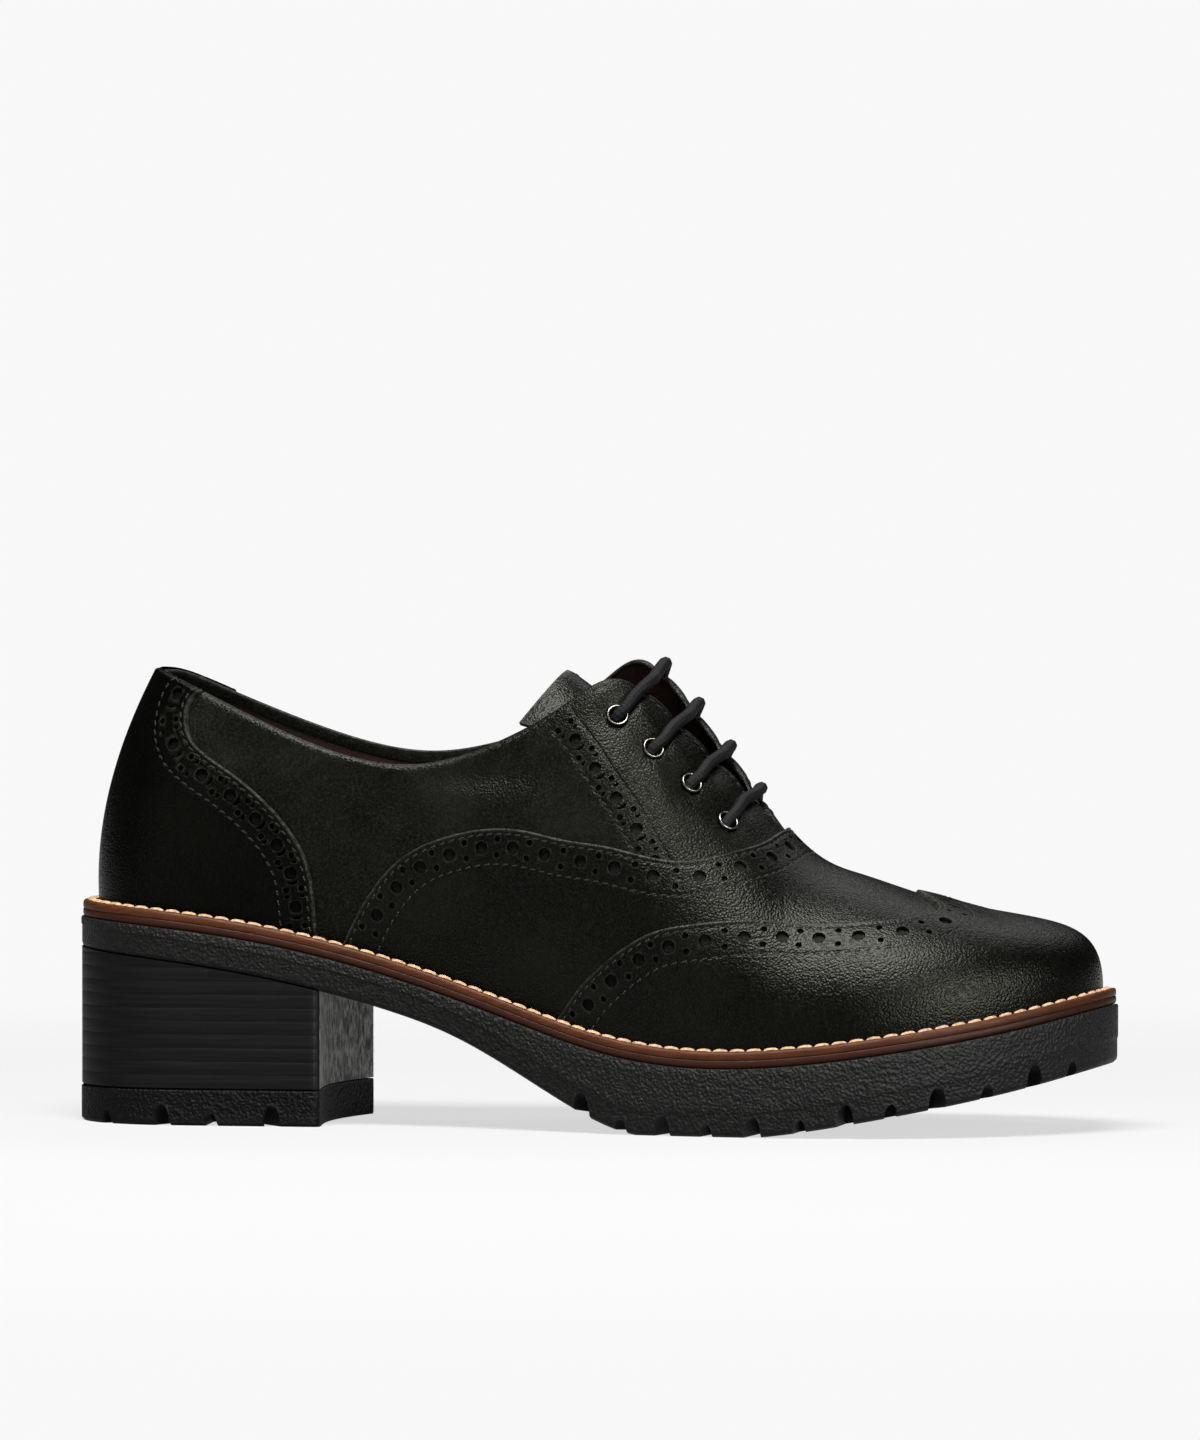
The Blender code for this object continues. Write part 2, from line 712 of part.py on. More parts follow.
def edge_curve(table, count):
    """An overlay's edge, resampled evenly along its length."""
    points = np.stack([column(table, "round"), column(table, "share")], axis=1)
    along = length_along(points * EDGE_SCALE)
    even = np.linspace(0.0, along[-1], count)
    return [np.clip(spline(along, points[:, k], even, "free", "free"), 0.0, 1.0) for k in (0, 1)]


def front_overlay(table, edge_count, lift):
    """A sheet over the shoe's front, from the feather line up to an edge and on along the ridge."""
    around, top = edge_curve(table, edge_count)
    around[-1], top[-1] = table[-1]
    ridge = RIDGE_PLACES[RIDGE_PLACES > around[-1] + CLOSE]
    around = both_sides(np.concatenate([around, ridge]))
    top = np.concatenate([top, np.ones_like(ridge)])
    top = np.concatenate([top, top[-2::-1]])
    share = LOWEST + np.maximum(top - LOWEST, 0.0)[:, None] * np.linspace(0.0, 1.0, ROWS)
    return raised(around[:, None], share, lift)


def back_overlay(table, rows, columns, lift):
    """A sheet round the heel, from one edge to its mirror image on the other side."""
    around, share = edge_curve(table, rows)
    share = np.maximum(share, LOWEST)
    spread = np.linspace(1.0, -1.0, columns)
    return raised(-around[None, :] * spread[:, None], share[None, :], lift)


def eyelet_places():
    """The eyelets' places round the shoe, lateral ones first."""
    return list(EYELETS) + [(2 - around, share) for around, share in EYELETS]


def standing_on(around, share):
    """The placing of a piece made round Z that stands on the last's surface."""
    turn = Vector(last_normal(around, share)).to_track_quat("Z", "Y").to_matrix().to_4x4()
    return Matrix.Translation(Vector(in_frame(last_point(around, share)))) @ turn


def build_upper(parts, cutters):
    """The hollow upper, open at the collar, at the throat and underneath, with its eyelet holes."""
    share = np.linspace(0.0, 1.0, ROWS)
    mesh = grid_mesh("upper", last_point(upper_places()[:, None], share[None, :]), (True, False))
    upper = add_object("upper", mesh, parts, "black_leather")
    thicken(upper, WALL, -1)
    work = bmesh.new()
    radius = (EYELET_BARREL + GAP) * MM
    for place in eyelet_places():
        bmesh.ops.create_cone(
            work, cap_ends=True, segments=EYELET_SIDES, depth=4 * WALL * MM, radius1=radius, radius2=radius,
            matrix=standing_on(*place),
        )
    cut(upper, as_cutter("eyelet_holes", work, cutters))


def build_overlays(parts):
    """Vamp and heel counter lie on the upper, and the winged toe cap lies on the vamp."""
    sheets = {
        "vamp": front_overlay(VAMP_EDGE, VAMP_EDGE_POINTS, SHEET_GAP),
        "toe_cap": front_overlay(CAP_EDGE, CAP_EDGE_POINTS, 2 * SHEET_GAP + LEATHER),
        "heel_counter": back_overlay(COUNTER_EDGE, COUNTER_ROWS, COUNTER_COLUMNS, SHEET_GAP),
    }
    for name, grid in sheets.items():
        thicken(add_object(name, grid_mesh(name, grid), parts, "black_leather"), LEATHER, 1)


def build_tongue(parts):
    """A curved flap whose sides drop square to its centre line."""
    header, *rows = TONGUE
    knots = np.arange(len(rows), dtype=float)
    along = np.linspace(0.0, knots[-1], TONGUE_ROWS)
    station, level, half, drop = (
        spline(knots, column(TONGUE, name), along, "free", "free") for name in header
    )
    run = unit(np.stack([np.gradient(station), np.gradient(level)], axis=1))
    beside = np.linspace(1.0, -1.0, TONGUE_POINTS)
    fall = drop[:, None] * beside**2
    grid = np.stack([
        station[:, None] - fall * run[:, 1:],
        half[:, None] * beside,
        level[:, None] + fall * run[:, :1],
    ], axis=-1)
    thicken(add_object("tongue", grid_mesh("tongue", grid), parts, "black_leather"), TONGUE_THICKNESS, -1)


def build_eyelets(parts):
    """Rings with a flange outside the leather and a barrel through it, each turned from one profile."""
    top = GAP + EYELET_LIP
    profile = (
        (EYELET_HOLE + EYELET_ROUNDING, top),
        (EYELET_FLANGE - EYELET_ROUNDING, top),
        (EYELET_FLANGE, GAP),
        (EYELET_BARREL, GAP),
        (EYELET_BARREL, -EYELET_DEPTH),
        (EYELET_HOLE, -EYELET_DEPTH),
        (EYELET_HOLE, top - EYELET_ROUNDING),
    )
    points = [(radius * MM, 0.0, level * MM) for radius, level in profile]
    edges = [(i, (i + 1) % len(points)) for i in range(len(points))]
    mesh = bpy.data.meshes.new("eyelet")
    mesh.from_pydata(points, edges, [])
    mesh.materials.append(finish_material("eyelet_metal"))
    for number, place in enumerate(eyelet_places()):
        side = "lateral" if number < len(EYELETS) else "medial"
        eyelet = add_object(f"eyelet_{side}_{number % len(EYELETS) + 1}", mesh, parts)
        eyelet.matrix_world = standing_on(*place)
        turn = eyelet.modifiers.new("turn", "SCREW")
        turn.steps = EYELET_SIDES
        turn.render_steps = EYELET_SIDES
        turn.use_merge_vertices = True
        turn.merge_threshold = CLOSE


def lace_path(number):
    """A lace bar's centre line, from eyelet to eyelet over both facings' edges."""
    around, share = EYELETS[number]
    drift = LACE_DRIFT[number]
    halves = []
    for mirrored in (False, True):
        half = []
        for part, lift in LACE_STOPS:
            place = around + drift * part
            half.append(raised(2 - place if mirrored else place, share + (1 - share) * part, LACE / 2 + lift))
        halves.append(half)
    near, far = halves
    crown = (near[-1] + far[-1]) / 2 + np.array(CROWN_LEAN) * LACE_CROWN
    points = np.array(near + [crown] + far[::-1])
    along = length_along(points)
    even = np.linspace(0.0, along[-1], LACE_POINTS)
    return np.stack([spline(along, points[:, k], even, "free", "free") for k in range(3)], axis=1)


def build_laces(parts):
    """The four bars, as round cords that end over their eyelets."""
    for number in range(len(EYELETS)):
        curve = bpy.data.curves.new(f"lace_bar_{number + 1}", "CURVE")
        curve.dimensions = "3D"
        curve.bevel_depth = LACE / 2 * MM
        curve.bevel_resolution = 1
        curve.use_fill_caps = True
        path = in_frame(lace_path(number))
        run = curve.splines.new("POLY")
        run.points.add(len(path) - 1)
        for point, place in zip(run.points, path):
            point.co = (*place, 1.0)
        add_object(curve.name, curve, parts, "lace_cord")


def main():
    """Clears the scene and builds the shoe."""
    for old in list(bpy.data.objects):
        bpy.data.objects.remove(old)
    parts = bpy.data.collections.new("lace_up_shoe")
    cutters = bpy.data.collections.new("cutters")
    for collection in (parts, cutters):
        bpy.context.scene.collection.children.link(collection)
    build_outsole(parts, cutters)
    build_heel(parts, cutters)
    build_welt(parts)
    build_insole(parts)
    build_upper(parts, cutters)
    build_overlays(parts)
    build_tongue(parts)
    build_eyelets(parts)
    build_laces(parts)


main()
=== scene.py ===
"""Looks of the wing-tip lace-up shoe: leather, brogueing, stitches, welt, sole, eyelets and laces.

All sizes are millimetres in the shoe's own terms and become metres when a mesh is made. A station is a
distance along the shoe from the back of the heel. "Round" is a place round the feather line, where the
upper meets the welt: 0 at the heel's back, 1 at the toe, 2 at the heel again, lateral side first. A
"share" is a place on the rib that rises there, 0 at the feather line and 1 at the top line.
"""

import logging
import math
from dataclasses import dataclass
from enum import Enum
from functools import cached_property
from typing import Callable, Optional, Sequence, Union

import bmesh
import bpy
import numpy as np
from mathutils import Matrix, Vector


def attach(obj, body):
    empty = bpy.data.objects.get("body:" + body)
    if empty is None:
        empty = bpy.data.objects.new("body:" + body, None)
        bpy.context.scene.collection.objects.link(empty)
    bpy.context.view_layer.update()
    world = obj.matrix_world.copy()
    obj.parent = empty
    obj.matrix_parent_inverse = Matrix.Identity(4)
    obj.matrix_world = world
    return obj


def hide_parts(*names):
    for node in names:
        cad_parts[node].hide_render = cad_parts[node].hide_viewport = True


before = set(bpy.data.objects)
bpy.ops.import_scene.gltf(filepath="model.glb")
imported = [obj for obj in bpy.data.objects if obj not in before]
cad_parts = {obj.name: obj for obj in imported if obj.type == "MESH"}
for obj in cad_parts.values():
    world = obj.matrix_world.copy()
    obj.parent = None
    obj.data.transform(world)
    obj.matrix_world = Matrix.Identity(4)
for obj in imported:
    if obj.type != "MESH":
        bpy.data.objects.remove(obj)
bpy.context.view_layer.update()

log = logging.getLogger("lace_up_shoe")

MM = 0.001
BODY = "root"
UP = np.array([0.0, 0.0, 1.0])

TURN = 2 * math.pi

Array = np.ndarray
Table = tuple[tuple[float, ...], ...]
Colour = tuple[float, float, float]
Place = tuple[float, float, float]
Material = bpy.types.Material
Object = bpy.types.Object


class Side(Enum):
    """The shoe's outer and inner side."""

    LATERAL = 1
    MEDIAL = -1

    def round(self, along: Array) -> Array:
        """A place along one side, 0 at the heel and 1 at the toe, as a place round the shoe."""
        return along if self is Side.LATERAL else 2 - along


class Slot(Enum):
    """The record's material slots."""

    LEATHER = "black_leather"
    LINING = "lining_leather"
    WELT = "welt_leather"
    RUBBER = "sole_rubber"
    HEEL = "heel_stack"
    METAL = "eyelet_metal"
    CORD = "lace_cord"


# Curves

def spline(knots: Array, values: Array, at: Array, even_start: bool = False, even_end: bool = False) -> Array:
    """Natural cubic curve through a table's column.

    Args:
        knots: rising places of the column's values.
        values: the values there.
        at: where the curve is read.
        even_start: mirrors the column at its start, which is straight otherwise.
        even_end: the same for its end.

    Returns:
        The curve's values, in the shape of at.
    """
    knots = np.asarray(knots, float)
    values = np.asarray(values, float)
    if even_start:
        knots = np.concatenate([2 * knots[0] - knots[3:0:-1], knots])
        values = np.concatenate([values[3:0:-1], values])
    if even_end:
        knots = np.concatenate([knots, 2 * knots[-1] - knots[-2:-5:-1]])
        values = np.concatenate([values, values[-2:-5:-1]])
    step = np.diff(knots)
    rise = np.diff(values) / step
    inner = np.arange(1, len(knots) - 1)
    system = np.eye(len(knots))
    system[inner, inner - 1] = step[:-1]
    system[inner, inner] = 2 * (step[:-1] + step[1:])
    system[inner, inner + 1] = step[1:]
    right = np.zeros(len(knots))
    right[inner] = 6 * np.diff(rise)
    bend = np.linalg.solve(system, right)
    at = np.asarray(at, float)
    i = np.clip(np.searchsorted(knots, at) - 1, 0, len(step) - 1)
    ahead = at - knots[i]
    behind = knots[i + 1] - at
    return (
        (bend[i] * behind**3 + bend[i + 1] * ahead**3) / (6 * step[i])
        + (values[i] / step[i] - bend[i] * step[i] / 6) * behind
        + (values[i + 1] / step[i] - bend[i + 1] * step[i] / 6) * ahead
    )


def column(table: Table, index: int) -> Array:
    """One column of a table."""
    return np.array([row[index] for row in table], float)


def read_table(table: Table, index: int, at: Array) -> Array:
    """A free curve through one column of a table, whose first column holds the places."""
    return spline(column(table, 0), column(table, index), at)


def smooth(value: Array) -> Array:
    """Soft step: 0 below 0, 1 above 1, and 3x^2 - 2x^3 between."""
    x = np.clip(value, 0.0, 1.0)
    return x * x * (3 - 2 * x)


def bell(value: Array) -> Array:
    """Bell curve: 1 at 0, falling as e to the power of -x^2."""
    return np.exp(-(value**2))


def size_of(vectors: Array) -> Array:
    """Lengths of vectors."""
    return np.linalg.norm(vectors, axis=-1)


def unit(vectors: Array) -> Array:
    """Vectors scaled to length 1."""
    return vectors / np.maximum(size_of(vectors)[..., None], 1e-12)


def length_along(points: Array) -> Array:
    """Distance from the first point to each point of a run."""
    return np.concatenate([[0.0], np.cumsum(size_of(np.diff(points, axis=0)))])


def curve_through(points: Array, count: int) -> Array:
    """A smooth run of evenly spread points through a few given ones, by chord length."""
    along = length_along(points)
    even = np.linspace(0.0, along[-1], count)
    return np.stack([spline(along, row, even) for row in points.T], axis=1)


def resampled(points: Array, places: Array) -> Array:
    """Points of a run at given distances along it."""
    along = length_along(points)
    return np.stack([np.interp(places, along, row) for row in points.T], axis=1)


def standing(flat: Array, level: Array) -> Array:
    """Plan points with their heights."""
    return np.concatenate([flat, np.asarray(level)[..., None]], axis=-1)


# The last

RIB_NAMES = (
    "round", "station", "y_lateral", "y_medial", "z_lateral", "z_medial",
    "fall", "lean", "low_pull", "high_pull",
)


@dataclass(frozen=True)
class Last:
    """The form that the shoe is built on, the same one that the solids are worked out from."""

    length: float = 268.4
    heel_round: float = 31.0
    heel_squareness: float = 2.15
    toe_round: float = 62.0
    toe_squareness: float = 2.2
    gap: float = 0.3
    welt_height: float = 4.0
    feather: float = 5.9
    toe_cap_inset: float = 0.6
    cap_start: float = 0.55
    cap_reach: float = 0.3
    throat: float = 0.68
    facing_top: float = 0.57
    samples: int = 700
    # Steps for differences: round the shoe, along the top line, and the shares that hold near the top
    probe: float = 0.004
    top_probe: float = 0.01
    near_top: float = 0.985
    climb_from: float = 0.97
    climb_to: float = 0.99
    # Station, lateral and medial half width
    outline: Table = (
        (0.0, 31.0, 30.4), (40.0, 31.2, 30.6), (70.0, 30.4, 29.2), (100.0, 32.0, 28.4),
        (132.0, 38.4, 32.0), (165.0, 45.8, 39.6), (195.0, 48.2, 45.4), (230.0, 45.8, 45.8),
        (267.0, 36.0, 44.0),
    )
    # Station, height
    top_of_sole: Table = (
        (0.0, 52.6), (30.0, 50.0), (60.0, 45.3), (90.0, 37.7), (120.0, 28.0), (145.0, 20.3),
        (170.0, 17.0), (195.0, 17.9), (225.0, 22.0), (250.0, 26.9), (267.0, 31.4),
    )
    under_sole: Table = (
        (0.0, 44.8), (30.0, 41.6), (69.0, 34.6), (88.0, 29.6), (104.0, 24.0), (121.0, 15.4),
        (138.0, 6.0), (150.0, 1.0), (168.0, -0.8), (186.0, 0.0), (205.0, 2.7), (229.0, 7.2),
        (251.0, 12.2), (267.0, 16.8),
    )
    # Columns as in RIB_NAMES, angles in degrees, pulls as shares of the rib's chord
    ribs: Table = (
        (0.00, 20.6, 0.0, 0.0, 116.4, 116.4, 62.0, 3.0, 0.42, 0.25),
        (0.06, 23.6, -8.4, 8.4, 115.4, 115.8, 66.0, 4.0, 0.40, 0.25),
        (0.13, 34.0, -15.6, 15.6, 111.2, 111.1, 72.0, 7.0, 0.38, 0.26),
        (0.235, 60.0, -22.6, 22.4, 99.6, 100.3, 82.0, 9.0, 0.36, 0.28),
        (0.33, 86.0, -24.8, 24.2, 92.2, 94.8, 86.0, 8.0, 0.36, 0.30),
        (0.40, 105.0, -24.4, 23.8, 94.4, 97.6, 82.0, 7.0, 0.36, 0.30),
        (0.45, 120.0, -23.0, 22.6, 100.8, 103.6, 73.0, 7.0, 0.35, 0.28),
        (0.50, 134.0, -21.2, 21.0, 109.4, 114.8, 64.0, 7.0, 0.35, 0.26),
        (0.53, 142.6, -18.8, 18.6, 114.0, 118.8, 57.0, 7.0, 0.35, 0.24),
        (0.555, 150.0, -15.8, 15.8, 112.0, 115.2, 50.0, 7.0, 0.35, 0.22),
        (0.60, 162.0, -10.8, 10.8, 100.6, 102.2, 38.0, 7.0, 0.35, 0.21),
        (0.65, 175.6, -4.4, 4.4, 85.6, 86.2, 22.0, 7.0, 0.35, 0.22),
        (0.68, 184.4, 0.0, 0.0, 74.6, 74.6, 6.0, 7.0, 0.35, 0.24),
        (0.76, 201.4, 0.3, 0.3, 63.4, 63.4, 0.0, 6.0, 0.38, 0.32),
        (0.85, 217.0, 1.0, 1.0, 58.0, 58.0, 0.0, 5.0, 0.42, 0.44),
        (0.93, 227.0, 1.6, 1.6, 54.7, 54.7, 0.0, 3.0, 0.42, 0.57),
        (1.00, 231.0, 2.0, 2.0, 53.8, 53.8, 0.0, 1.0, 0.43, 0.67),
    )

    @cached_property
    def loop(self) -> tuple[Array, Array]:
        """The sole's edge in plan: an outline with superellipse ends.

        Returns:
            Evenly spread (station, y) points, and their outward normals.
        """
        swing = np.linspace(0.0, math.pi, self.samples)
        station = self.length * (1 - np.cos(swing)) / 2
        sides = [read_table(self.outline, side, station) for side in (1, 2)]
        middle = (sides[1] - sides[0]) / 2 * np.clip(station / self.heel_round, 0, 1)
        half = (sides[1] + sides[0]) / 2
        heel = np.clip(1 - station / self.heel_round, 0, 1)
        toe = np.clip(1 - (self.length - station) / self.toe_round, 0, 1)
        half = half * (1 - heel**self.heel_squareness) ** (1 / self.heel_squareness)
        half = half * (1 - toe**self.toe_squareness) ** (1 / self.toe_squareness)
        runs = []
        for sign in (-1, 1):
            run = np.stack([station, middle + sign * half], axis=1)
            runs.append(resampled(run, np.linspace(0.0, length_along(run)[-1], self.samples)))
        points = np.concatenate([runs[0], runs[1][-2:0:-1]])
        ahead = np.roll(points, -2, axis=0) - np.roll(points, 2, axis=0)
        return points, unit(np.stack([ahead[:, 1], -ahead[:, 0]], axis=1))

    @cached_property
    def centre(self) -> Array:
        """Middle of the footprint, which is the frame's origin."""
        points = self.loop[0]
        return (points.min(axis=0) + points.max(axis=0)) / 2

    def in_frame(self, points: Array) -> Array:
        """Millimetres from the heel as metres from the frame's origin."""
        return (np.asarray(points, float) - [*self.centre, 0.0]) * MM

    def edge(self, around: Array, inset: Array = 0.0) -> tuple[Array, Array]:
        """The sole's edge in plan.

        Args:
            around: places round the shoe.
            inset: how far in from the edge, one number or one for each place.

        Returns:
            (station, y) points, and the outward normals there.
        """
        count = len(self.loop[0])
        place = np.asarray(around, float) % 2 * count / 2
        ticks = np.arange(count + 1)
        read = []
        for values in self.loop:
            closed = np.concatenate([values, values[:1]])
            read.append(np.stack([np.interp(place, ticks, closed[:, k]) for k in (0, 1)], axis=-1))
        normal = unit(read[1])
        return read[0] - np.asarray(inset)[..., None] * normal, normal

    def sole_top(self, station: Array) -> Array:
        """Height of the outsole's top."""
        return read_table(self.top_of_sole, 1, station)

    def arch(self, station: Array) -> Array:
        """Height of the outsole's underside before the floor stops it."""
        return read_table(self.under_sole, 1, station)

    def underside(self, station: Array) -> Array:
        """Height of the outsole's underside, flat on the floor under the ball of the foot."""
        return np.maximum(self.arch(station), 0.0)

    def welt_top(self, station: Array) -> Array:
        """Height of the welt's ledge."""
        return self.sole_top(station) + self.gap + self.welt_height

    def rib(self, name: str, along: Array) -> Array:
        """A column of the rib table at a place along one side."""
        values = column(self.ribs, RIB_NAMES.index(name))
        return spline(column(self.ribs, 0), values, along, not name.startswith("y_"), True)

    def top_line(self, around: Array) -> tuple[Array, Array, Array]:
        """The collar, facings and ridge.

        Args:
            around: places round the shoe.

        Returns:
            Points there, the ridge's slope, and the places along their side.
        """
        around = np.asarray(around, float) % 2
        along = np.where(around > 1, 2 - around, around)

        def sided(name: str, at: Array) -> Array:
            """A column of its own side, and the mean of both on the ridge."""
            outer = self.rib(name + "_lateral", at)
            inner = self.rib(name + "_medial", at)
            own = np.where(around <= 1, outer, inner)
            return np.where(at > self.throat - 1e-6, (outer + inner) / 2, own)

        def point(at: Array) -> Array:
            """The top line's point at a place along the side."""
            return np.stack([self.rib("station", at), sided("y", at), sided("z", at)], axis=-1)

        here = point(along)
        before = point(along - self.top_probe)
        slope = (here[..., 2] - before[..., 2]) / (here[..., 0] - before[..., 0])
        return here, slope * smooth((along - self.facing_top) / (self.throat - self.facing_top)), along

    def feather_inset(self, around: Array) -> Array:
        """How far the upper stands in from the sole's edge, a little more under the toe cap."""
        along = 1 - np.abs(1 - np.asarray(around, float) % 2)
        return self.feather + self.toe_cap_inset * smooth((along - self.cap_start) / self.cap_reach)

    def point(self, around: Array, share: Array) -> Array:
        """Points of the surface: a cubic curve with two handles from the feather line to the top line.

        The low handle leaves the welt at the rib's lean, the high one meets the top line at its fall,
        and each is a share of the rib's chord long.

        Args:
            around: places round the shoe.
            share: places on the ribs there.

        Returns:
            The points, in millimetres.
        """
        around, share = np.broadcast_arrays(np.asarray(around, float), np.asarray(share, float))
        top, slope, along = self.top_line(around)
        flat, normal = self.edge(around, self.feather_inset(around))
        foot = standing(flat, self.welt_top(flat[..., 0]) + self.gap)
        chord = size_of(top - foot)[..., None]
        lean = np.radians(self.rib("lean", along))[..., None]
        fall = np.radians(self.rib("fall", along))[..., None]
        low_pull = self.rib("low_pull", along)[..., None]
        high_pull = self.rib("high_pull", along)[..., None]
        out = standing(normal, np.zeros(normal.shape[:-1]))
        level = out + (slope * out[..., 0])[..., None] * UP
        low = foot + low_pull * chord * (np.cos(lean) * UP + np.sin(lean) * out)
        high = top + high_pull * chord * (np.cos(fall) * level - np.sin(fall) * UP)
        t = share[..., None]
        return foot * (1 - t) ** 3 + 3 * low * t * (1 - t) ** 2 + 3 * high * t**2 * (1 - t) + top * t**3

    def normal(self, around: Array, share: Array) -> Array:
        """Outward normals of the surface, by differences along both parameters.

        Args:
            around: places round the shoe.
            share: places on the ribs there.

        Returns:
            Vectors of length 1.
        """
        around, share = np.broadcast_arrays(np.asarray(around, float), np.asarray(share, float))
        step = self.probe
        held = np.clip(share, 0, self.near_top)
        along = self.point(around + step, held) - self.point(around - step, held)
        up = self.point(around, np.clip(share + step, step, self.near_top))
        up = up - self.point(around, np.clip(share - step, 0, self.near_top - step))
        normal = np.cross(along, up)
        _, slope, place = self.top_line(around)
        ridge = np.stack([-slope, np.zeros_like(slope), np.ones_like(slope)], axis=-1)
        on_ridge = (share > 0.999) & (place > self.throat - 1e-6)
        return unit(np.where(on_ridge[..., None], ridge, normal))

    def raised(self, around: Array, share: Array, lift: Array) -> Array:
        """A point held off the surface along its normal."""
        return self.point(around, share) + np.asarray(lift)[..., None] * self.normal(around, share)

    def climb(self, around: Array) -> Array:
        """How many millimetres the rib rises for a whole share, near the top line."""
        step = self.point(around, self.climb_to) - self.point(around, self.climb_from)
        return size_of(step) / (self.climb_to - self.climb_from)


LAST = Last()


# Shader maths

Value = Union["Wire", float, tuple]


class Wire:
    """A node's output socket that Python's operators work on, each adding a Math node."""

    def __init__(self, paint: "Paint", socket: bpy.types.NodeSocket) -> None:
        """Keeps the socket and the material it belongs to."""
        self.paint = paint
        self.socket = socket

    def _math(self, operation: str, first: Value, second: Value) -> "Wire":
        """One Math node."""
        return self.paint.node("ShaderNodeMath", {"operation": operation}, {0: first, 1: second})

    def __add__(self, other: Value) -> "Wire":
        """self + other."""
        return self._math("ADD", self, other)

    __radd__ = __add__

    def __sub__(self, other: Value) -> "Wire":
        """self - other."""
        return self._math("SUBTRACT", self, other)

    def __rsub__(self, other: Value) -> "Wire":
        """other - self."""
        return self._math("SUBTRACT", other, self)

    def __mul__(self, other: Value) -> "Wire":
        """self * other."""
        return self._math("MULTIPLY", self, other)

    __rmul__ = __mul__

    def between(self, low: float, high: float) -> "Wire":
        """Soft step from 0 at low to 1 at high."""
        return self.paint.node(
            "ShaderNodeMapRange", {"interpolation_type": "SMOOTHSTEP"},
            {"Value": self, "From Min": low, "From Max": high},
        )


class Paint:
    """A material under construction, with its Principled shader."""

    def __init__(self, name: str) -> None:
        """Starts an empty material."""
        self.material = bpy.data.materials.new(name)
        self.material.use_nodes = True
        self.tree = self.material.node_tree
        self.shader = self.tree.nodes["Principled BSDF"]

    def feed(self, socket: bpy.types.NodeSocket, value: Value) -> None:
        """Links a wire to an input, or sets its value.

        Args:
            socket: the input.
            value: a wire, a number, or a colour of three, which gets its alpha.
        """
        if isinstance(value, Wire):
            self.tree.links.new(value.socket, socket)
        elif socket.type == "RGBA":
            socket.default_value = (*value, 1.0)
        else:
            socket.default_value = value

    def node(self, kind: str, settings: dict[str, str], sockets: dict[Union[int, str], Value],
             output: Union[int, str] = 0) -> Wire:
        """Adds any node.

        Args:
            kind: the node's type.
            settings: its own settings, set first.
            sockets: values or wires for its inputs, by name or number.
            output: which output is returned.

        Returns:
            The output as a wire.
        """
        node = self.tree.nodes.new(kind)
        for key, value in settings.items():
            setattr(node, key, value)
        for key, value in sockets.items():
            self.feed(node.inputs[key], value)
        return Wire(self, node.outputs[output])

    @cached_property
    def place(self) -> Wire:
        """Object coordinates, in metres."""
        return self.node("ShaderNodeTexCoord", {}, {}, "Object")

    def scaled(self, scale: Place) -> Wire:
        """Object coordinates stretched along each axis."""
        return self.node("ShaderNodeMapping", {}, {"Vector": self.place, "Scale": scale})

    def mark(self, name: str) -> Wire:
        """A value stored on the mesh's points."""
        return self.node("ShaderNodeAttribute", {"attribute_name": name}, {}, "Fac")

    def noise(self, size: float, detail: float, roughness: float, vector: Optional[Wire] = None) -> Wire:
        """Cloudy noise.

        Args:
            size: about how many millimetres its features take.
            detail: how many finer layers it has.
            roughness: how much each finer layer counts.
            vector: its coordinates, if not the object's own.

        Returns:
            Values of about 0 to 1.
        """
        sockets = {"Scale": 1 / (size * MM), "Detail": detail, "Roughness": roughness}
        return self.node("ShaderNodeTexNoise", {}, {"Vector": vector or self.place, **sockets})

    def cells(self, size: float, feature: str = "F1") -> Wire:
        """Distance to the cells of a Voronoi pattern of this many millimetres."""
        sockets = {"Vector": self.place, "Scale": 1 / (size * MM)}
        return self.node("ShaderNodeTexVoronoi", {"feature": feature}, sockets)

    def mix(self, factor: Value, first: Value, second: Value) -> Wire:
        """A blend of two colours; the Mix node's colours are its inputs 6 and 7, and its output 2."""
        return self.node("ShaderNodeMix", {"data_type": "RGBA"}, {0: factor, 6: first, 7: second}, 2)

    def bump(self, height: Wire, depth: float, under: Optional[Wire] = None) -> Wire:
        """A Bump node for heights of 0 to 1 that stand for this many millimetres, over another one."""
        sockets = {"Height": height, "Distance": depth * MM}
        if under is not None:
            sockets["Normal"] = under
        return self.node("ShaderNodeBump", {}, sockets)

    def done(self, **sockets: Value) -> Material:
        """Sets the shader's sockets, named with underscores for spaces, and returns the material."""
        for name, value in sockets.items():
            label = name.replace("_", " ").title().replace("Ior", "IOR")
            self.feed(self.shader.inputs[label], value)
        return self.material


# Finishes

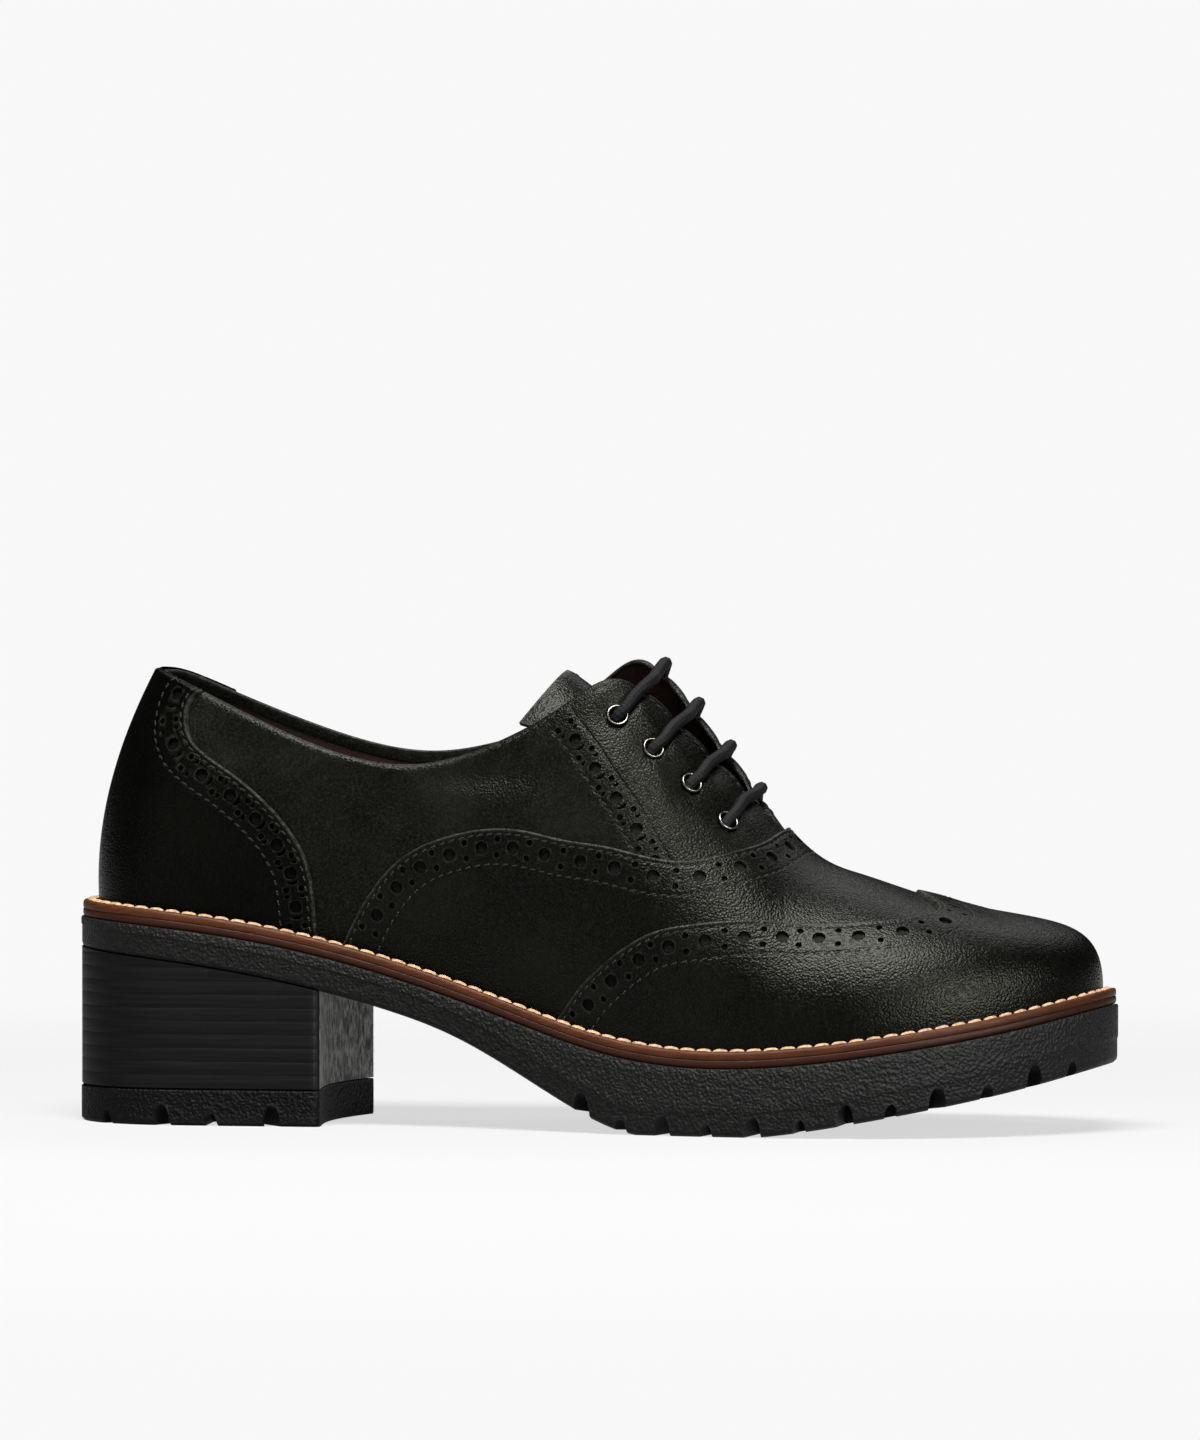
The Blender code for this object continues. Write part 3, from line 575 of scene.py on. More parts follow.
@dataclass(frozen=True)
class Calf:
    """Black box calf: fine pebble grain with a painted highlight on its raised flecks, cloudy polish, paler
    folded edges, and punched holes with a painted highlight on their rims and painted shade on their rougher
    floors.
    """

    name: str = "black_calf"
    tint: Colour = (0.0009, 0.0009, 0.0007)
    cloud: Colour = (0.0046, 0.0047, 0.0035)
    # Colour of edge wear, and of the painted highlight on hole rims and the collar's bend
    worn_and_highlight: Colour = (0.060, 0.060, 0.050)
    # Painted shade for the floors of the punched holes
    pit: Colour = (0.0010, 0.0010, 0.0010)
    sheen: Colour = (1.0, 1.0, 0.86)
    roughness: float = 0.26
    gloss: float = 0.055
    grain: float = 0.15

    def material(self) -> Material:
        """Builds the shader: colour clouds, flecks that paint a highlight on the raised grain, paler edges
        from "wear", which are edge wear, with a painted highlight on the collar's bend and on the hole rims,
        and painted shade on the rougher hole floors from "pit".

        Returns:
            The material.
        """
        paint = Paint(self.name)
        wear = paint.mark("wear")
        pit = paint.mark("pit")
        cloud = paint.noise(22.0, 3.0, 0.55)
        scuff = paint.noise(1.6, 4.0, 0.6)
        lines = paint.noise(0.55, 3.0, 0.6)
        # Painted highlight: flecks that lighten the grain where "lines" also raises the bump
        painted_grain_highlight = lines.between(0.42, 0.68)
        colour = paint.mix(cloud.between(0.35, 0.75) * 0.4 + painted_grain_highlight * 0.6, self.tint, self.cloud)
        # Paler edges: wear on the folds, a painted highlight on hole rims, both on the collar's bend
        colour = paint.mix((wear * scuff.between(0.25, 0.75)) * 0.75, colour, self.worn_and_highlight)
        # Painted shade on the floors of the punched holes
        colour = paint.mix(pit, colour, self.pit)
        height = lines * 0.5 - paint.cells(0.60) * 0.8
        normal = paint.bump(paint.noise(7.0, 2.0, 0.5), 0.05)
        normal = paint.bump(height, self.grain, normal)
        rough = self.roughness + (cloud - 0.5) * 0.10 + (scuff - 0.5) * 0.10 + pit * 0.4 + wear * 0.06
        return paint.done(
            base_color=colour, roughness=rough, normal=normal, specular_ior_level=self.gloss,
            specular_tint=self.sheen,
        )


@dataclass(frozen=True)
class Lining:
    """Dark red-brown pigskin lining, black where the heel's pocket is lined with suede."""

    name: str = "lining"
    tint: Colour = (0.030, 0.0075, 0.0045)
    deep: Colour = (0.011, 0.0032, 0.0022)
    pocket: Colour = (0.004, 0.004, 0.004)
    gloss: float = 0.1

    def material(self) -> Material:
        """Builds the shader: napped blotches with pore dots, and the "pocket" mark turned black.

        Returns:
            The material.
        """
        paint = Paint(self.name)
        nap = paint.noise(1.3, 5.0, 0.65)
        blotch = paint.noise(9.0, 3.0, 0.5)
        pores = paint.cells(1.1)
        colour = paint.mix(nap.between(0.3, 0.7), self.deep, self.tint)
        colour = paint.mix(blotch.between(0.45, 0.8) * 0.5, colour, self.deep)
        colour = paint.mix(paint.mark("pocket"), colour, self.pocket)
        normal = paint.bump(nap * 0.7 + pores.between(0.0, 0.35) * 0.5, 0.12)
        rough = 0.78 + (nap - 0.5) * 0.2
        return paint.done(base_color=colour, roughness=rough, normal=normal, specular_ior_level=self.gloss)


@dataclass(frozen=True)
class WeltStrip:
    """Stained leather strip: orange-brown upper layer, darker lower layer, streaked along the edge."""

    name: str = "welt_strip"
    light: Colour = (0.072, 0.0210, 0.0070)
    dark: Colour = (0.030, 0.0085, 0.0038)
    burnt: Colour = (0.013, 0.0045, 0.0025)
    gloss: float = 0.06

    def material(self) -> Material:
        """Builds the shader: layer colours from "layer", lengthwise fibres and darker blotches.

        Returns:
            The material.
        """
        paint = Paint(self.name)
        layer = paint.mark("layer")
        fibre = paint.noise(1.0, 4.0, 0.65, paint.scaled((0.16, 0.30, 1.6)))
        blotch = paint.noise(13.0, 3.0, 0.6)
        speck = paint.noise(0.8, 3.0, 0.6)
        colour = paint.mix(layer, self.dark, self.light)
        colour = paint.mix(fibre.between(0.35, 0.75) * 0.55, colour, self.burnt)
        colour = paint.mix(blotch.between(0.42, 0.78) * 0.70, colour, self.dark)
        colour = paint.mix(speck.between(0.60, 0.75) * 0.5, colour, self.burnt)
        normal = paint.bump(fibre * 0.6 + speck * 0.4, 0.10)
        rough = 0.48 + (fibre - 0.5) * 0.25
        return paint.done(base_color=colour, roughness=rough, normal=normal, specular_ior_level=self.gloss)


@dataclass(frozen=True)
class Thread:
    """Twisted sewing thread, ribbed across its length by the "twist" mark."""

    name: str
    tint: Colour
    shade: Colour
    roughness: float = 0.6
    gloss: float = 0.12

    def material(self) -> Material:
        """Builds the shader: plies from the twist mark, painted shade in the grooves between them, and small
        uneven stains.

        Returns:
            The material.
        """
        paint = Paint(self.name)
        ply = paint.node("ShaderNodeMath", {"operation": "SINE"}, {0: paint.mark("twist") * TURN})
        ply = ply * 0.5 + 0.5
        stain = paint.noise(3.0, 3.0, 0.6)
        # Stains, and painted shade in the troughs between the plies, both toward the shade colour
        colour = paint.mix(stain.between(0.40, 0.80) * 0.6 + (1 - ply) * 0.25, self.tint, self.shade)
        return paint.done(
            base_color=colour, roughness=self.roughness, normal=paint.bump(ply, 0.12),
            specular_ior_level=self.gloss,
        )


@dataclass(frozen=True)
class Crepe:
    """Black crepe rubber: wrinkled where "crepe" is 1, smooth and a little dusty elsewhere, with painted
    shade inside the notches.
    """

    name: str = "crepe_rubber"
    tint: Colour = (0.0036, 0.0037, 0.0033)
    dust: Colour = (0.0125, 0.0130, 0.0110)
    # Painted shade for the insides of the notches
    notch_shade: Colour = (0.0015, 0.0015, 0.0015)
    gloss: float = 0.10
    smooth_part: float = 0.07

    def material(self) -> Material:
        """Builds the shader: ridged wrinkles of about a millimetre, faded out by the "crepe" mark, and
        painted shade inside the notches from the "notch" mark.

        Returns:
            The material.
        """
        paint = Paint(self.name)
        crepe = paint.mark("crepe")
        ripple = paint.noise(1.6, 3.0, 0.6)
        ridge = paint.node(
            "ShaderNodeTexNoise", {"noise_type": "RIDGED_MULTIFRACTAL"}, {
                "Vector": paint.place, "Scale": 1 / (1.25 * MM), "Detail": 3.0,
                "Roughness": 0.55, "Lacunarity": 2.1,
            },
        )
        pit = paint.cells(0.75, "SMOOTH_F1")
        height = ridge * 0.45 + pit * 0.9 + ripple * 0.6
        height = height * (crepe * (1 - self.smooth_part) + self.smooth_part)
        fine = paint.noise(0.35, 3.0, 0.6)
        colour = paint.mix(ripple.between(0.45, 0.75) * 0.6, self.tint, self.dust)
        colour = paint.mix(fine.between(0.55, 0.75) * 0.25, colour, self.dust)
        # Painted shade: the notches' insides turned darker
        colour = paint.mix(paint.mark("notch"), colour, self.notch_shade)
        normal = paint.bump(height, 0.55)
        normal = paint.bump(fine, 0.04, normal)
        rough = 0.58 + (ripple - 0.5) * 0.15
        return paint.done(base_color=colour, roughness=rough, normal=normal, specular_ior_level=self.gloss)


@dataclass(frozen=True)
class Stack:
    """Heel block: dark matt sides with fine level lines, and a greyer brushed front where "breast" is 1."""

    name: str = "heel_stack"
    tint: Colour = (0.0018, 0.0018, 0.0018)
    line: Colour = (0.0044, 0.0044, 0.0044)
    brushed: Colour = (0.310, 0.310, 0.292)
    rubbed: Colour = (0.022, 0.022, 0.021)
    gloss: float = 0.07

    def material(self) -> Material:
        """Builds the shader: level streaks on the sides, upright brushing on the front.

        Returns:
            The material.
        """
        paint = Paint(self.name)
        breast = paint.mark("breast")
        level = paint.noise(0.9, 4.0, 0.6, paint.scaled((0.03, 0.03, 1.0)))
        upright = paint.noise(1.2, 4.0, 0.65, paint.scaled((1.0, 1.0, 0.40)))
        blotch = paint.noise(5.0, 4.0, 0.65)
        side = paint.mix(level.between(0.40, 0.70), self.tint, self.line)
        front = paint.mix(upright.between(0.32, 0.70), self.rubbed, self.brushed)
        front = paint.mix(blotch.between(0.40, 0.70) * 0.75, front, self.rubbed)
        colour = paint.mix(breast, side, front)
        normal = paint.bump(level * (1 - breast) + upright * breast, 0.06)
        rough = 0.55 + (level - 0.5) * 0.15
        return paint.done(base_color=colour, roughness=rough, normal=normal, specular_ior_level=self.gloss)


@dataclass(frozen=True)
class Gunmetal:
    """Dark plated brass, rubbed paler on the rim."""

    name: str = "gunmetal"
    plating: Colour = (0.018, 0.017, 0.014)
    brass: Colour = (0.17, 0.16, 0.125)

    def material(self) -> Material:
        """Builds the shader: plating rubbed through to the brass on the "wear" mark, with fine scratches.

        Returns:
            The material.
        """
        paint = Paint(self.name)
        wear = paint.mark("wear")
        scratch = paint.noise(0.5, 4.0, 0.6)
        colour = paint.mix(wear * scratch.between(0.2, 0.6), self.plating, self.brass)
        normal = paint.bump(scratch, 0.015)
        rough = 0.28 + (scratch - 0.5) * 0.2
        return paint.done(base_color=colour, metallic=1.0, roughness=rough, normal=normal)


@dataclass(frozen=True)
class Cord:
    """Waxed cotton lace: matt black, with painted light on the crowns of the weave and painted shade in its
    grooves.
    """

    name: str = "waxed_cord"
    tint: Colour = (0.0012, 0.0012, 0.0012)
    # Painted light: the paler colour of the weave's raised crowns
    crown: Colour = (0.0062, 0.0062, 0.0060)
    fluff: Colour = (0.010, 0.010, 0.010)
    roughness: float = 0.66
    gloss: float = 0.06

    def material(self) -> Material:
        """Builds the shader: the "weave" mark lightens each crossing and leaves the grooves darker, painted
        light and shade, and lint adds unevenness.

        Returns:
            The material.
        """
        paint = Paint(self.name)
        weave = paint.mark("weave")
        lint = paint.noise(0.5, 4.0, 0.7)
        # Painted light and shade: crowns of the weave lighter, grooves darker
        colour = paint.mix(weave * 0.8, self.tint, self.crown)
        colour = paint.mix(lint.between(0.55, 0.8) * 0.35, colour, self.fluff)
        return paint.done(
            base_color=colour, roughness=self.roughness, normal=paint.bump(lint, 0.06),
            specular_ior_level=self.gloss,
        )


# Lighter copy for the quarters and facing strips: its brighter clouds are painted sheen
QUARTER_CALF_PAINTED_SHEEN = Calf(
    "quarter_calf_painted_sheen", tint=(0.0013, 0.0014, 0.0010), cloud=(0.0116, 0.0119, 0.0092), gloss=0.042,
)
# Darker copy for the counter: its dimmer clouds are painted shade, and it has less gloss
COUNTER_CALF_PAINTED_SHADE = Calf("counter_calf_painted_shade", cloud=(0.0022, 0.0022, 0.0017), gloss=0.03)
LIFT_RUBBER = Crepe(
    "lift_rubber", tint=(0.0018, 0.0018, 0.0017), dust=(0.0055, 0.0057, 0.0050), gloss=0.05,
)
BLACK_THREAD = Thread("black_thread", tint=(0.010, 0.010, 0.009), shade=(0.003, 0.003, 0.0026))
CREAM_THREAD = Thread("cream_thread", tint=(0.48, 0.315, 0.18), shade=(0.20, 0.100, 0.045))


# Meshes

def quads_of(index: Array) -> Array:
    """Faces between neighbours in a grid of point numbers, four numbers for each."""
    corners = (index[:-1, :-1], index[1:, :-1], index[1:, 1:], index[:-1, 1:])
    return np.stack(corners, axis=-1).reshape(-1, 4)


def into_scene(name: str, data: bpy.types.ID) -> Object:
    """Makes an object of a mesh, lamp or camera, and links it to the scene."""
    thing = bpy.data.objects.new(name, data)
    bpy.context.scene.collection.objects.link(thing)
    return thing


class Surface:
    """Grids and repeated shapes gathered into one mesh."""

    # Points nearer than this are welded, and edges shorter than that dissolved, in metres
    WELD = 2e-6
    SHORTEST = 1e-6

    def __init__(self) -> None:
        """Starts with nothing."""
        self._points: list[Array] = []
        self._quads: list[Array] = []
        self._marks: list[dict[str, Array]] = []
        self._count = 0

    def _add(self, points: Array, quads: Array, marks: dict[str, Array]) -> None:
        """Adds points, faces that number them from 0, and values on the points."""
        self._points.append(points)
        self._quads.append(quads + self._count)
        self._marks.append(marks)
        self._count += len(points)

    def grid(self, points: Array, closed: tuple[bool, bool] = (False, False), flip: bool = False,
             **marks: Array) -> "Surface":
        """Adds a grid of quads.

        Args:
            points: rows x columns x 3, in millimetres.
            closed: whether rows and columns join up at their ends.
            flip: turns the faces round.
            marks: values for the points, each rows x columns or a single number.

        Returns:
            The surface itself.
        """
        shape = points.shape[:2]
        index = np.arange(shape[0] * shape[1]).reshape(shape)
        for axis in (0, 1):
            if closed[axis]:
                index = np.concatenate([index, index.take([0], axis=axis)], axis=axis)
        quads = quads_of(index)
        values = {name: np.broadcast_to(value, shape).reshape(-1) for name, value in marks.items()}
        self._add(points.reshape(-1, 3), quads[:, ::-1] if flip else quads, values)
        return self

    def copies(self, shape: Array, axes: Array, places: Array, closed: tuple[bool, bool],
               **marks: Array) -> "Surface":
        """Adds copies of one small grid, each with its own axes and place.

        Args:
            shape: rows x columns x 3 grid of the small shape.
            axes: copies x 3 x 3, the shape's X, Y and Z directions as rows.
            places: copies x 3.
            closed: as for a grid.
            marks: values for the shape's points.

        Returns:
            The surface itself.
        """
        flat = shape.reshape(-1, 3)
        points = np.einsum("vk,nkc->nvc", flat, axes) + places[:, None]
        single = Surface().grid(shape, closed)
        quads = single._quads[0][None] + (np.arange(len(places)) * len(flat))[:, None, None]
        values = {
            name: np.tile(np.broadcast_to(value, shape.shape[:2]).reshape(-1), len(places))
            for name, value in marks.items()
        }
        self._add(points.reshape(-1, 3), quads.reshape(-1, 4), values)
        return self

    def piece(self, name: str, material: Material, slot: Slot, replaces: Sequence[str] = (),
              weld: bool = True, sharp: float = 45.0) -> None:
        """Makes the object, at the origin, riding on the shoe's one body.

        Args:
            name: the piece's name.
            material: its finish.
            slot: the record's slot; not used.
            replaces: solids that it stands for.
            weld: joins points that lie on each other.
            sharp: edges that turn more than this many degrees stay crisp.
        """
        points = LAST.in_frame(np.concatenate(self._points)).astype(np.float32)
        quads = np.concatenate(self._quads).astype(np.int32)
        mesh = bpy.data.meshes.new(name)
        mesh.vertices.add(len(points))
        mesh.vertices.foreach_set("co", points.ravel())
        mesh.loops.add(quads.size)
        mesh.loops.foreach_set("vertex_index", quads.ravel())
        mesh.polygons.add(len(quads))
        mesh.polygons.foreach_set("loop_start", np.arange(0, quads.size, 4, dtype=np.int32))
        for mark in sorted(set().union(*self._marks)):
            values = [part.get(mark, np.zeros(len(p))) for part, p in zip(self._marks, self._points)]
            layer = mesh.attributes.new(mark, "FLOAT", "POINT")
            layer.data.foreach_set("value", np.concatenate(values).astype(np.float32))
        mesh.update(calc_edges=True)
        mesh.validate()
        if weld:
            work = bmesh.new()
            work.from_mesh(mesh)
            bmesh.ops.remove_doubles(work, verts=work.verts, dist=self.WELD)
            bmesh.ops.dissolve_degenerate(work, edges=work.edges, dist=self.SHORTEST)
            work.to_mesh(mesh)
            work.free()
        mesh.shade_smooth()
        mesh.set_sharp_from_angle(angle=math.radians(sharp))
        mesh.materials.append(material)
        shoe_piece = into_scene(name, mesh)
        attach(shoe_piece, BODY)
        if replaces:
            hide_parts(*replaces)
        log.info("%s: %d points, %d faces", name, len(mesh.vertices), len(mesh.polygons))


def tube(path: Array, radius: float, around: int,
         relief: Callable[[Array, Array], Array]) -> tuple[Array, Array]:
    """A profile carried along a path: circles square to it, without twist, whose radius takes a relief.

    Args:
        path: points of the centre line.
        radius: the tube's radius before its relief.
        around: points round the tube.
        relief: share by which the radius grows, from (distance along, turn).

    Returns:
        The grid of points and the relief itself.
    """
    run = unit(np.gradient(path, axis=0))
    side = np.cross(run, UP)
    side = unit(np.where(size_of(side)[:, None] > 1e-3, side, [0.0, 1.0, 0.0]))
    other = np.cross(run, side)
    turn = np.linspace(0.0, TURN, around, endpoint=False)
    lumps = relief(length_along(path)[:, None], turn[None, :])
    size = radius * (1 + lumps)
    ring = np.cos(turn)[None, :, None] * side[:, None] + np.sin(turn)[None, :, None] * other[:, None]
    return path[:, None] + size[..., None] * ring, lumps


@dataclass(frozen=True)
class Stitch:
    """One seen length of thread: a flattened spindle that dips into the leather at both ends."""

    length: float
    width: float
    height: float
    pitch: float
    slant: float = 0.0
    sunk: float = 0.0
    rows: int = 7
    columns: int = 6
    dip: float = 0.25
    twists: float = 3.0
    sight: float = 0.3

    def shape(self) -> tuple[Array, Array]:
        """The spindle's grid, along X with Z up, and its twist mark.

        Its half width falls as the square root of 1 - x^4 towards the ends, and its centre line dips
        with x^2.

        Returns:
            Rows x columns x 3 points, and a mark for each.
        """
        x = np.linspace(-1.0, 1.0, self.rows)[:, None]
        turn = np.linspace(0.0, TURN, self.columns, endpoint=False)
        taper = np.sqrt(np.maximum(1 - x**4, 0.0))
        grid = np.stack([
            x * self.length / 2 + 0 * turn,
            taper * np.cos(turn) * self.width / 2,
            taper * np.sin(turn) * self.height / 2 - x**2 * self.height * self.dip - self.sunk,
        ], axis=-1)
        return grid, x * self.twists / 2 + turn / TURN

    def sew(self, surface: Surface, line: Array, normals: Array) -> None:
        """Sets stitches along a line, evenly by the pitch.

        Args:
            surface: the mesh that takes them.
            line: the line's points.
            normals: the leather's normals there.
        """
        along = length_along(line)
        count = int(along[-1] / self.pitch)
        if count < 1:
            return
        places = (np.arange(count) + 0.5) * along[-1] / count
        points = resampled(line, places)
        after = resampled(line, np.minimum(places + self.sight, along[-1]))
        ahead = unit(after - resampled(line, np.maximum(places - self.sight, 0)))
        up = unit(np.stack([np.interp(places, along, row) for row in normals.T], axis=1))
        side = unit(np.cross(up, ahead))
        lean = math.radians(self.slant)
        axes = np.stack([
            ahead * math.cos(lean) + side * math.sin(lean),
            side * math.cos(lean) - ahead * math.sin(lean),
            up,
        ], axis=1)
        shape, twist = self.shape()
        surface.copies(shape, axes, points, (False, True), twist=twist)


# Brogueing

@dataclass(frozen=True)
class Brogue:
    """The punched pattern: large holes with pairs of small ones between, on a square net of cells."""

    cell: float = 0.4
    pitch: int = 24
    large_ring: int = 4
    large_radius: float = 1.72
    small_ring: int = 2
    small_radius: float = 0.84
    small_offset: int = 5
    depth: float = 1.05
    # Paler hole rims: a painted highlight where the cut edges catch the light
    rim_wear_and_highlight: float = 0.35
    margin: int = 3
    # Growth of the rings outside the rim, the floor's radius as a share of the rim's, least share punched
    ring_growth: float = 0.16
    floor_part: float = 0.92
    lowest_share: float = 0.02

    def punch(self, points: Array, normals: Array, marks: tuple[Array, Array], centres: Array, ring: int,
              radius: float) -> None:
        """Punches round holes into a grid, in place.

        The square rings of cells round each centre become circles: ring by ring outwards, those inside
        the hole's own ring drop to its floor, that ring lies on the rim and the next two make room.

        Args:
            points: the grid's points.
            normals: their normals.
            marks: values that become 1 on the holes' floors, for painted shade, and on their rims, for a
                painted highlight.
            centres: holes x 2, rows and columns of their centres.
            ring: how many cells the hole's radius takes.
            radius: the radius in millimetres.
        """
        if not len(centres):
            return
        reach = np.arange(-ring - 2, ring + 3)
        rows = centres[:, 0, None, None] + reach[None, :, None] + 0 * reach[None, None, :]
        columns = centres[:, 1, None, None] + 0 * reach[None, :, None] + reach[None, None, :]
        order = np.maximum(np.abs(reach)[:, None], np.abs(reach)[None, :])
        block = points[rows, columns]
        up = normals[centres[:, 0], centres[:, 1]][:, None, None]
        away = block - points[centres[:, 0], centres[:, 1]][:, None, None]
        flat = away - np.sum(away * up, axis=-1, keepdims=True) * up
        reached = size_of(flat)
        inside = order < ring
        pushed = np.maximum(reached, radius * (1 + self.ring_growth * (order - ring)))
        wanted = np.where(order == ring, radius, pushed)
        wanted = np.where(inside, radius * self.floor_part * order / max(ring - 1, 1), wanted)
        moved = block + (wanted - reached)[..., None] * unit(flat)
        moved = moved - (inside * self.depth)[..., None] * up
        points[rows, columns] = moved
        # The floors take painted shade, the rims a painted highlight
        for mark, there in zip(marks, (order < ring - 1, order == ring)):
            mark[rows, columns] = np.maximum(mark[rows, columns], there)

    def centres(self, middle: int, columns: int, row: int, first: int) -> tuple[Array, Array]:
        """Rows and columns of large and small holes, counted both ways from a middle column.

        Args:
            middle: the column that the pattern is even about.
            columns: how many columns the grid has.
            row: the row of the large holes.
            first: columns from the middle to the first large hole.

        Returns:
            Centres of the large holes and of the small ones.
        """
        edge = self.large_ring + self.margin
        steps = np.arange(-columns, columns) * self.pitch
        large = np.unique(np.concatenate([middle + steps + first, middle - steps - first]))
        small = large + self.pitch // 2
        large = large[(large >= edge) & (large < columns - edge)]
        small = small[(small >= edge) & (small < columns - edge)]
        offsets = (-self.small_offset, self.small_offset)
        pairs = [np.stack([np.full_like(small, row + k), small], axis=1) for k in offsets]
        return np.stack([np.full_like(large, row), large], axis=1), np.concatenate(pairs)

    def pattern(self, points: Array, normals: Array, share: Array, row: int, middle: int,
                first: int) -> tuple[Array, Array]:
        """Punches a whole row of the pattern into a grid, in place, above the welt.

        Args:
            points: the grid's points.
            normals: their normals.
            share: their places on the ribs.
            row: the row of the large holes.
            middle: the column that the pattern is even about.
            first: columns from the middle to the first large hole.

        Returns:
            Marks that are 1 on the holes' floors, for painted shade, and on their rims, for a painted
            highlight.
        """
        pit, rim = np.zeros((2, *share.shape))
        large, small = self.centres(middle, share.shape[1], row, first)
        holes = ((large, self.large_ring, self.large_radius), (small, self.small_ring, self.small_radius))
        for centres, ring, radius in holes:
            above = share[centres[:, 0], centres[:, 1]] > self.lowest_share
            self.punch(points, normals, (pit, rim), centres[above], ring, radius)
        return pit, rim


BROGUE = Brogue()
# The share at which the leather ends, tucked behind the welt
LOWEST = -0.04
# About how many millimetres a side is long, and how many a rib is high
SPAN = np.array([290.0, 70.0])


@dataclass(frozen=True)
class Band:
    """A brogued border of the upper, measured off a line of (along, share) points on either side.

    Lines are offset from that edge over the surface: at each step every point moves square to the
    current line, within the surface, and near the top end it turns to follow the top line.
    """

    line: Table
    # 1 if the border lies on the toe's side of the line going up, -1 if on the heel's
    turn: int
    mitre: float = 1.0
    turning: float = 10.0
    step: float = 0.8
    start: float = -0.03
    samples: int = 1200
    probe: float = 0.004

    def run(self, side: Side) -> tuple[Array, Array]:
        """The edge from the welt up, evenly spread in cells on the surface.

        Args:
            side: which side it lies on.

        Returns:
            Places along the side, and on the ribs.
        """
        points = np.array(self.line)
        if self.start < 0:
            slope = (points[1] - points[0]) / (points[1, 1] - points[0, 1])
            points = np.concatenate([[points[0] + slope * self.start], points])
        along = length_along(points * SPAN)
        dense = np.linspace(0.0, along[-1], self.samples)
        around, share = (spline(along, row, dense) for row in points.T)
        share = np.minimum(share, 1.0)
        walked = length_along(LAST.point(side.round(around), share))
        lateral = length_along(LAST.point(around, share))
        even = np.linspace(0.0, walked[-1], int(lateral[-1] / BROGUE.cell) + 1)
        around, share = np.interp(even, walked, around), np.interp(even, walked, share)
        around[-1], share[-1] = points[-1]
        return around, share

    def inward(self, along: Array, share: Array, side: Side, turn: int) -> tuple[Array, Array]:
        """Change of (along, share) for a millimetre square to a line of points.

        Args:
            along: the line's places along the side.
            share: its places on the ribs.
            side: which side it lies on.
            turn: 1 or -1, as for the band.

        Returns:
            The changes of along and of share.
        """
        step = self.probe

        def at(a: Array, s: Array) -> Array:
            """A point of this side."""
            return LAST.point(side.round(a), s)

        low = np.minimum(share, 1 - step) - step
        across = (at(along + step, share) - at(along - step, share)) / (2 * step)
        up = (at(along, low + 2 * step) - at(along, low)) / (2 * step)
        run = unit(np.gradient(at(along, share), axis=0))
        normal = unit(np.cross(across, up)) * side.value
        into = turn * side.value * np.cross(run, normal)
        aa, au, uu = (np.sum(x * y, axis=1) for x, y in ((across, across), (across, up), (up, up)))
        ai, ui = np.sum(across * into, axis=1), np.sum(up * into, axis=1)
        det = aa * uu - au * au
        d_along, d_share = (ai * uu - ui * au) / det, (ui * aa - ai * au) / det
        left = (len(along) - 1 - np.arange(len(along))) * BROGUE.cell
        end = smooth(1 - left / self.turning)
        return (
            d_along * (1 - end) + end * turn * self.mitre / np.sqrt(aa),
            d_share * (1 - end),
        )

    def lines(self, side: Side, distances: Array) -> tuple[Array, Array]:
        """Lines offset from the edge.

        Args:
            side: which side they lie on.
            distances: millimetres from the edge, negative ones on its other side.

        Returns:
            Grids of along and of share, a row for each distance.
        """
        edge = self.run(side)
        grids = []
        for sign in (-1, 1):
            along, share = edge
            rows = [edge]
            for _ in range(math.ceil(np.max(np.abs(distances)) / self.step)):
                move = self.inward(along, share, side, sign * self.turn)
                along = along + move[0] * self.step
                share = np.clip(share + move[1] * self.step, LOWEST, 1.0)
                rows.append((along, share))
            grids.append(np.array(rows))
        marched = np.concatenate([grids[0][:0:-1], grids[1]])
        zero = len(grids[0]) - 1
        place = zero + np.asarray(distances) / self.step
        low = np.clip(np.floor(place).astype(int), 0, len(marched) - 2)
        part = (place - low)[:, None, None]
        mixed = marched[low] * (1 - part) + marched[low + 1] * part
        return mixed[:, 0], mixed[:, 1]


FINE_STITCH = Stitch(length=2.0, width=0.55, height=0.5, pitch=2.55, slant=12.0, sunk=-0.02)


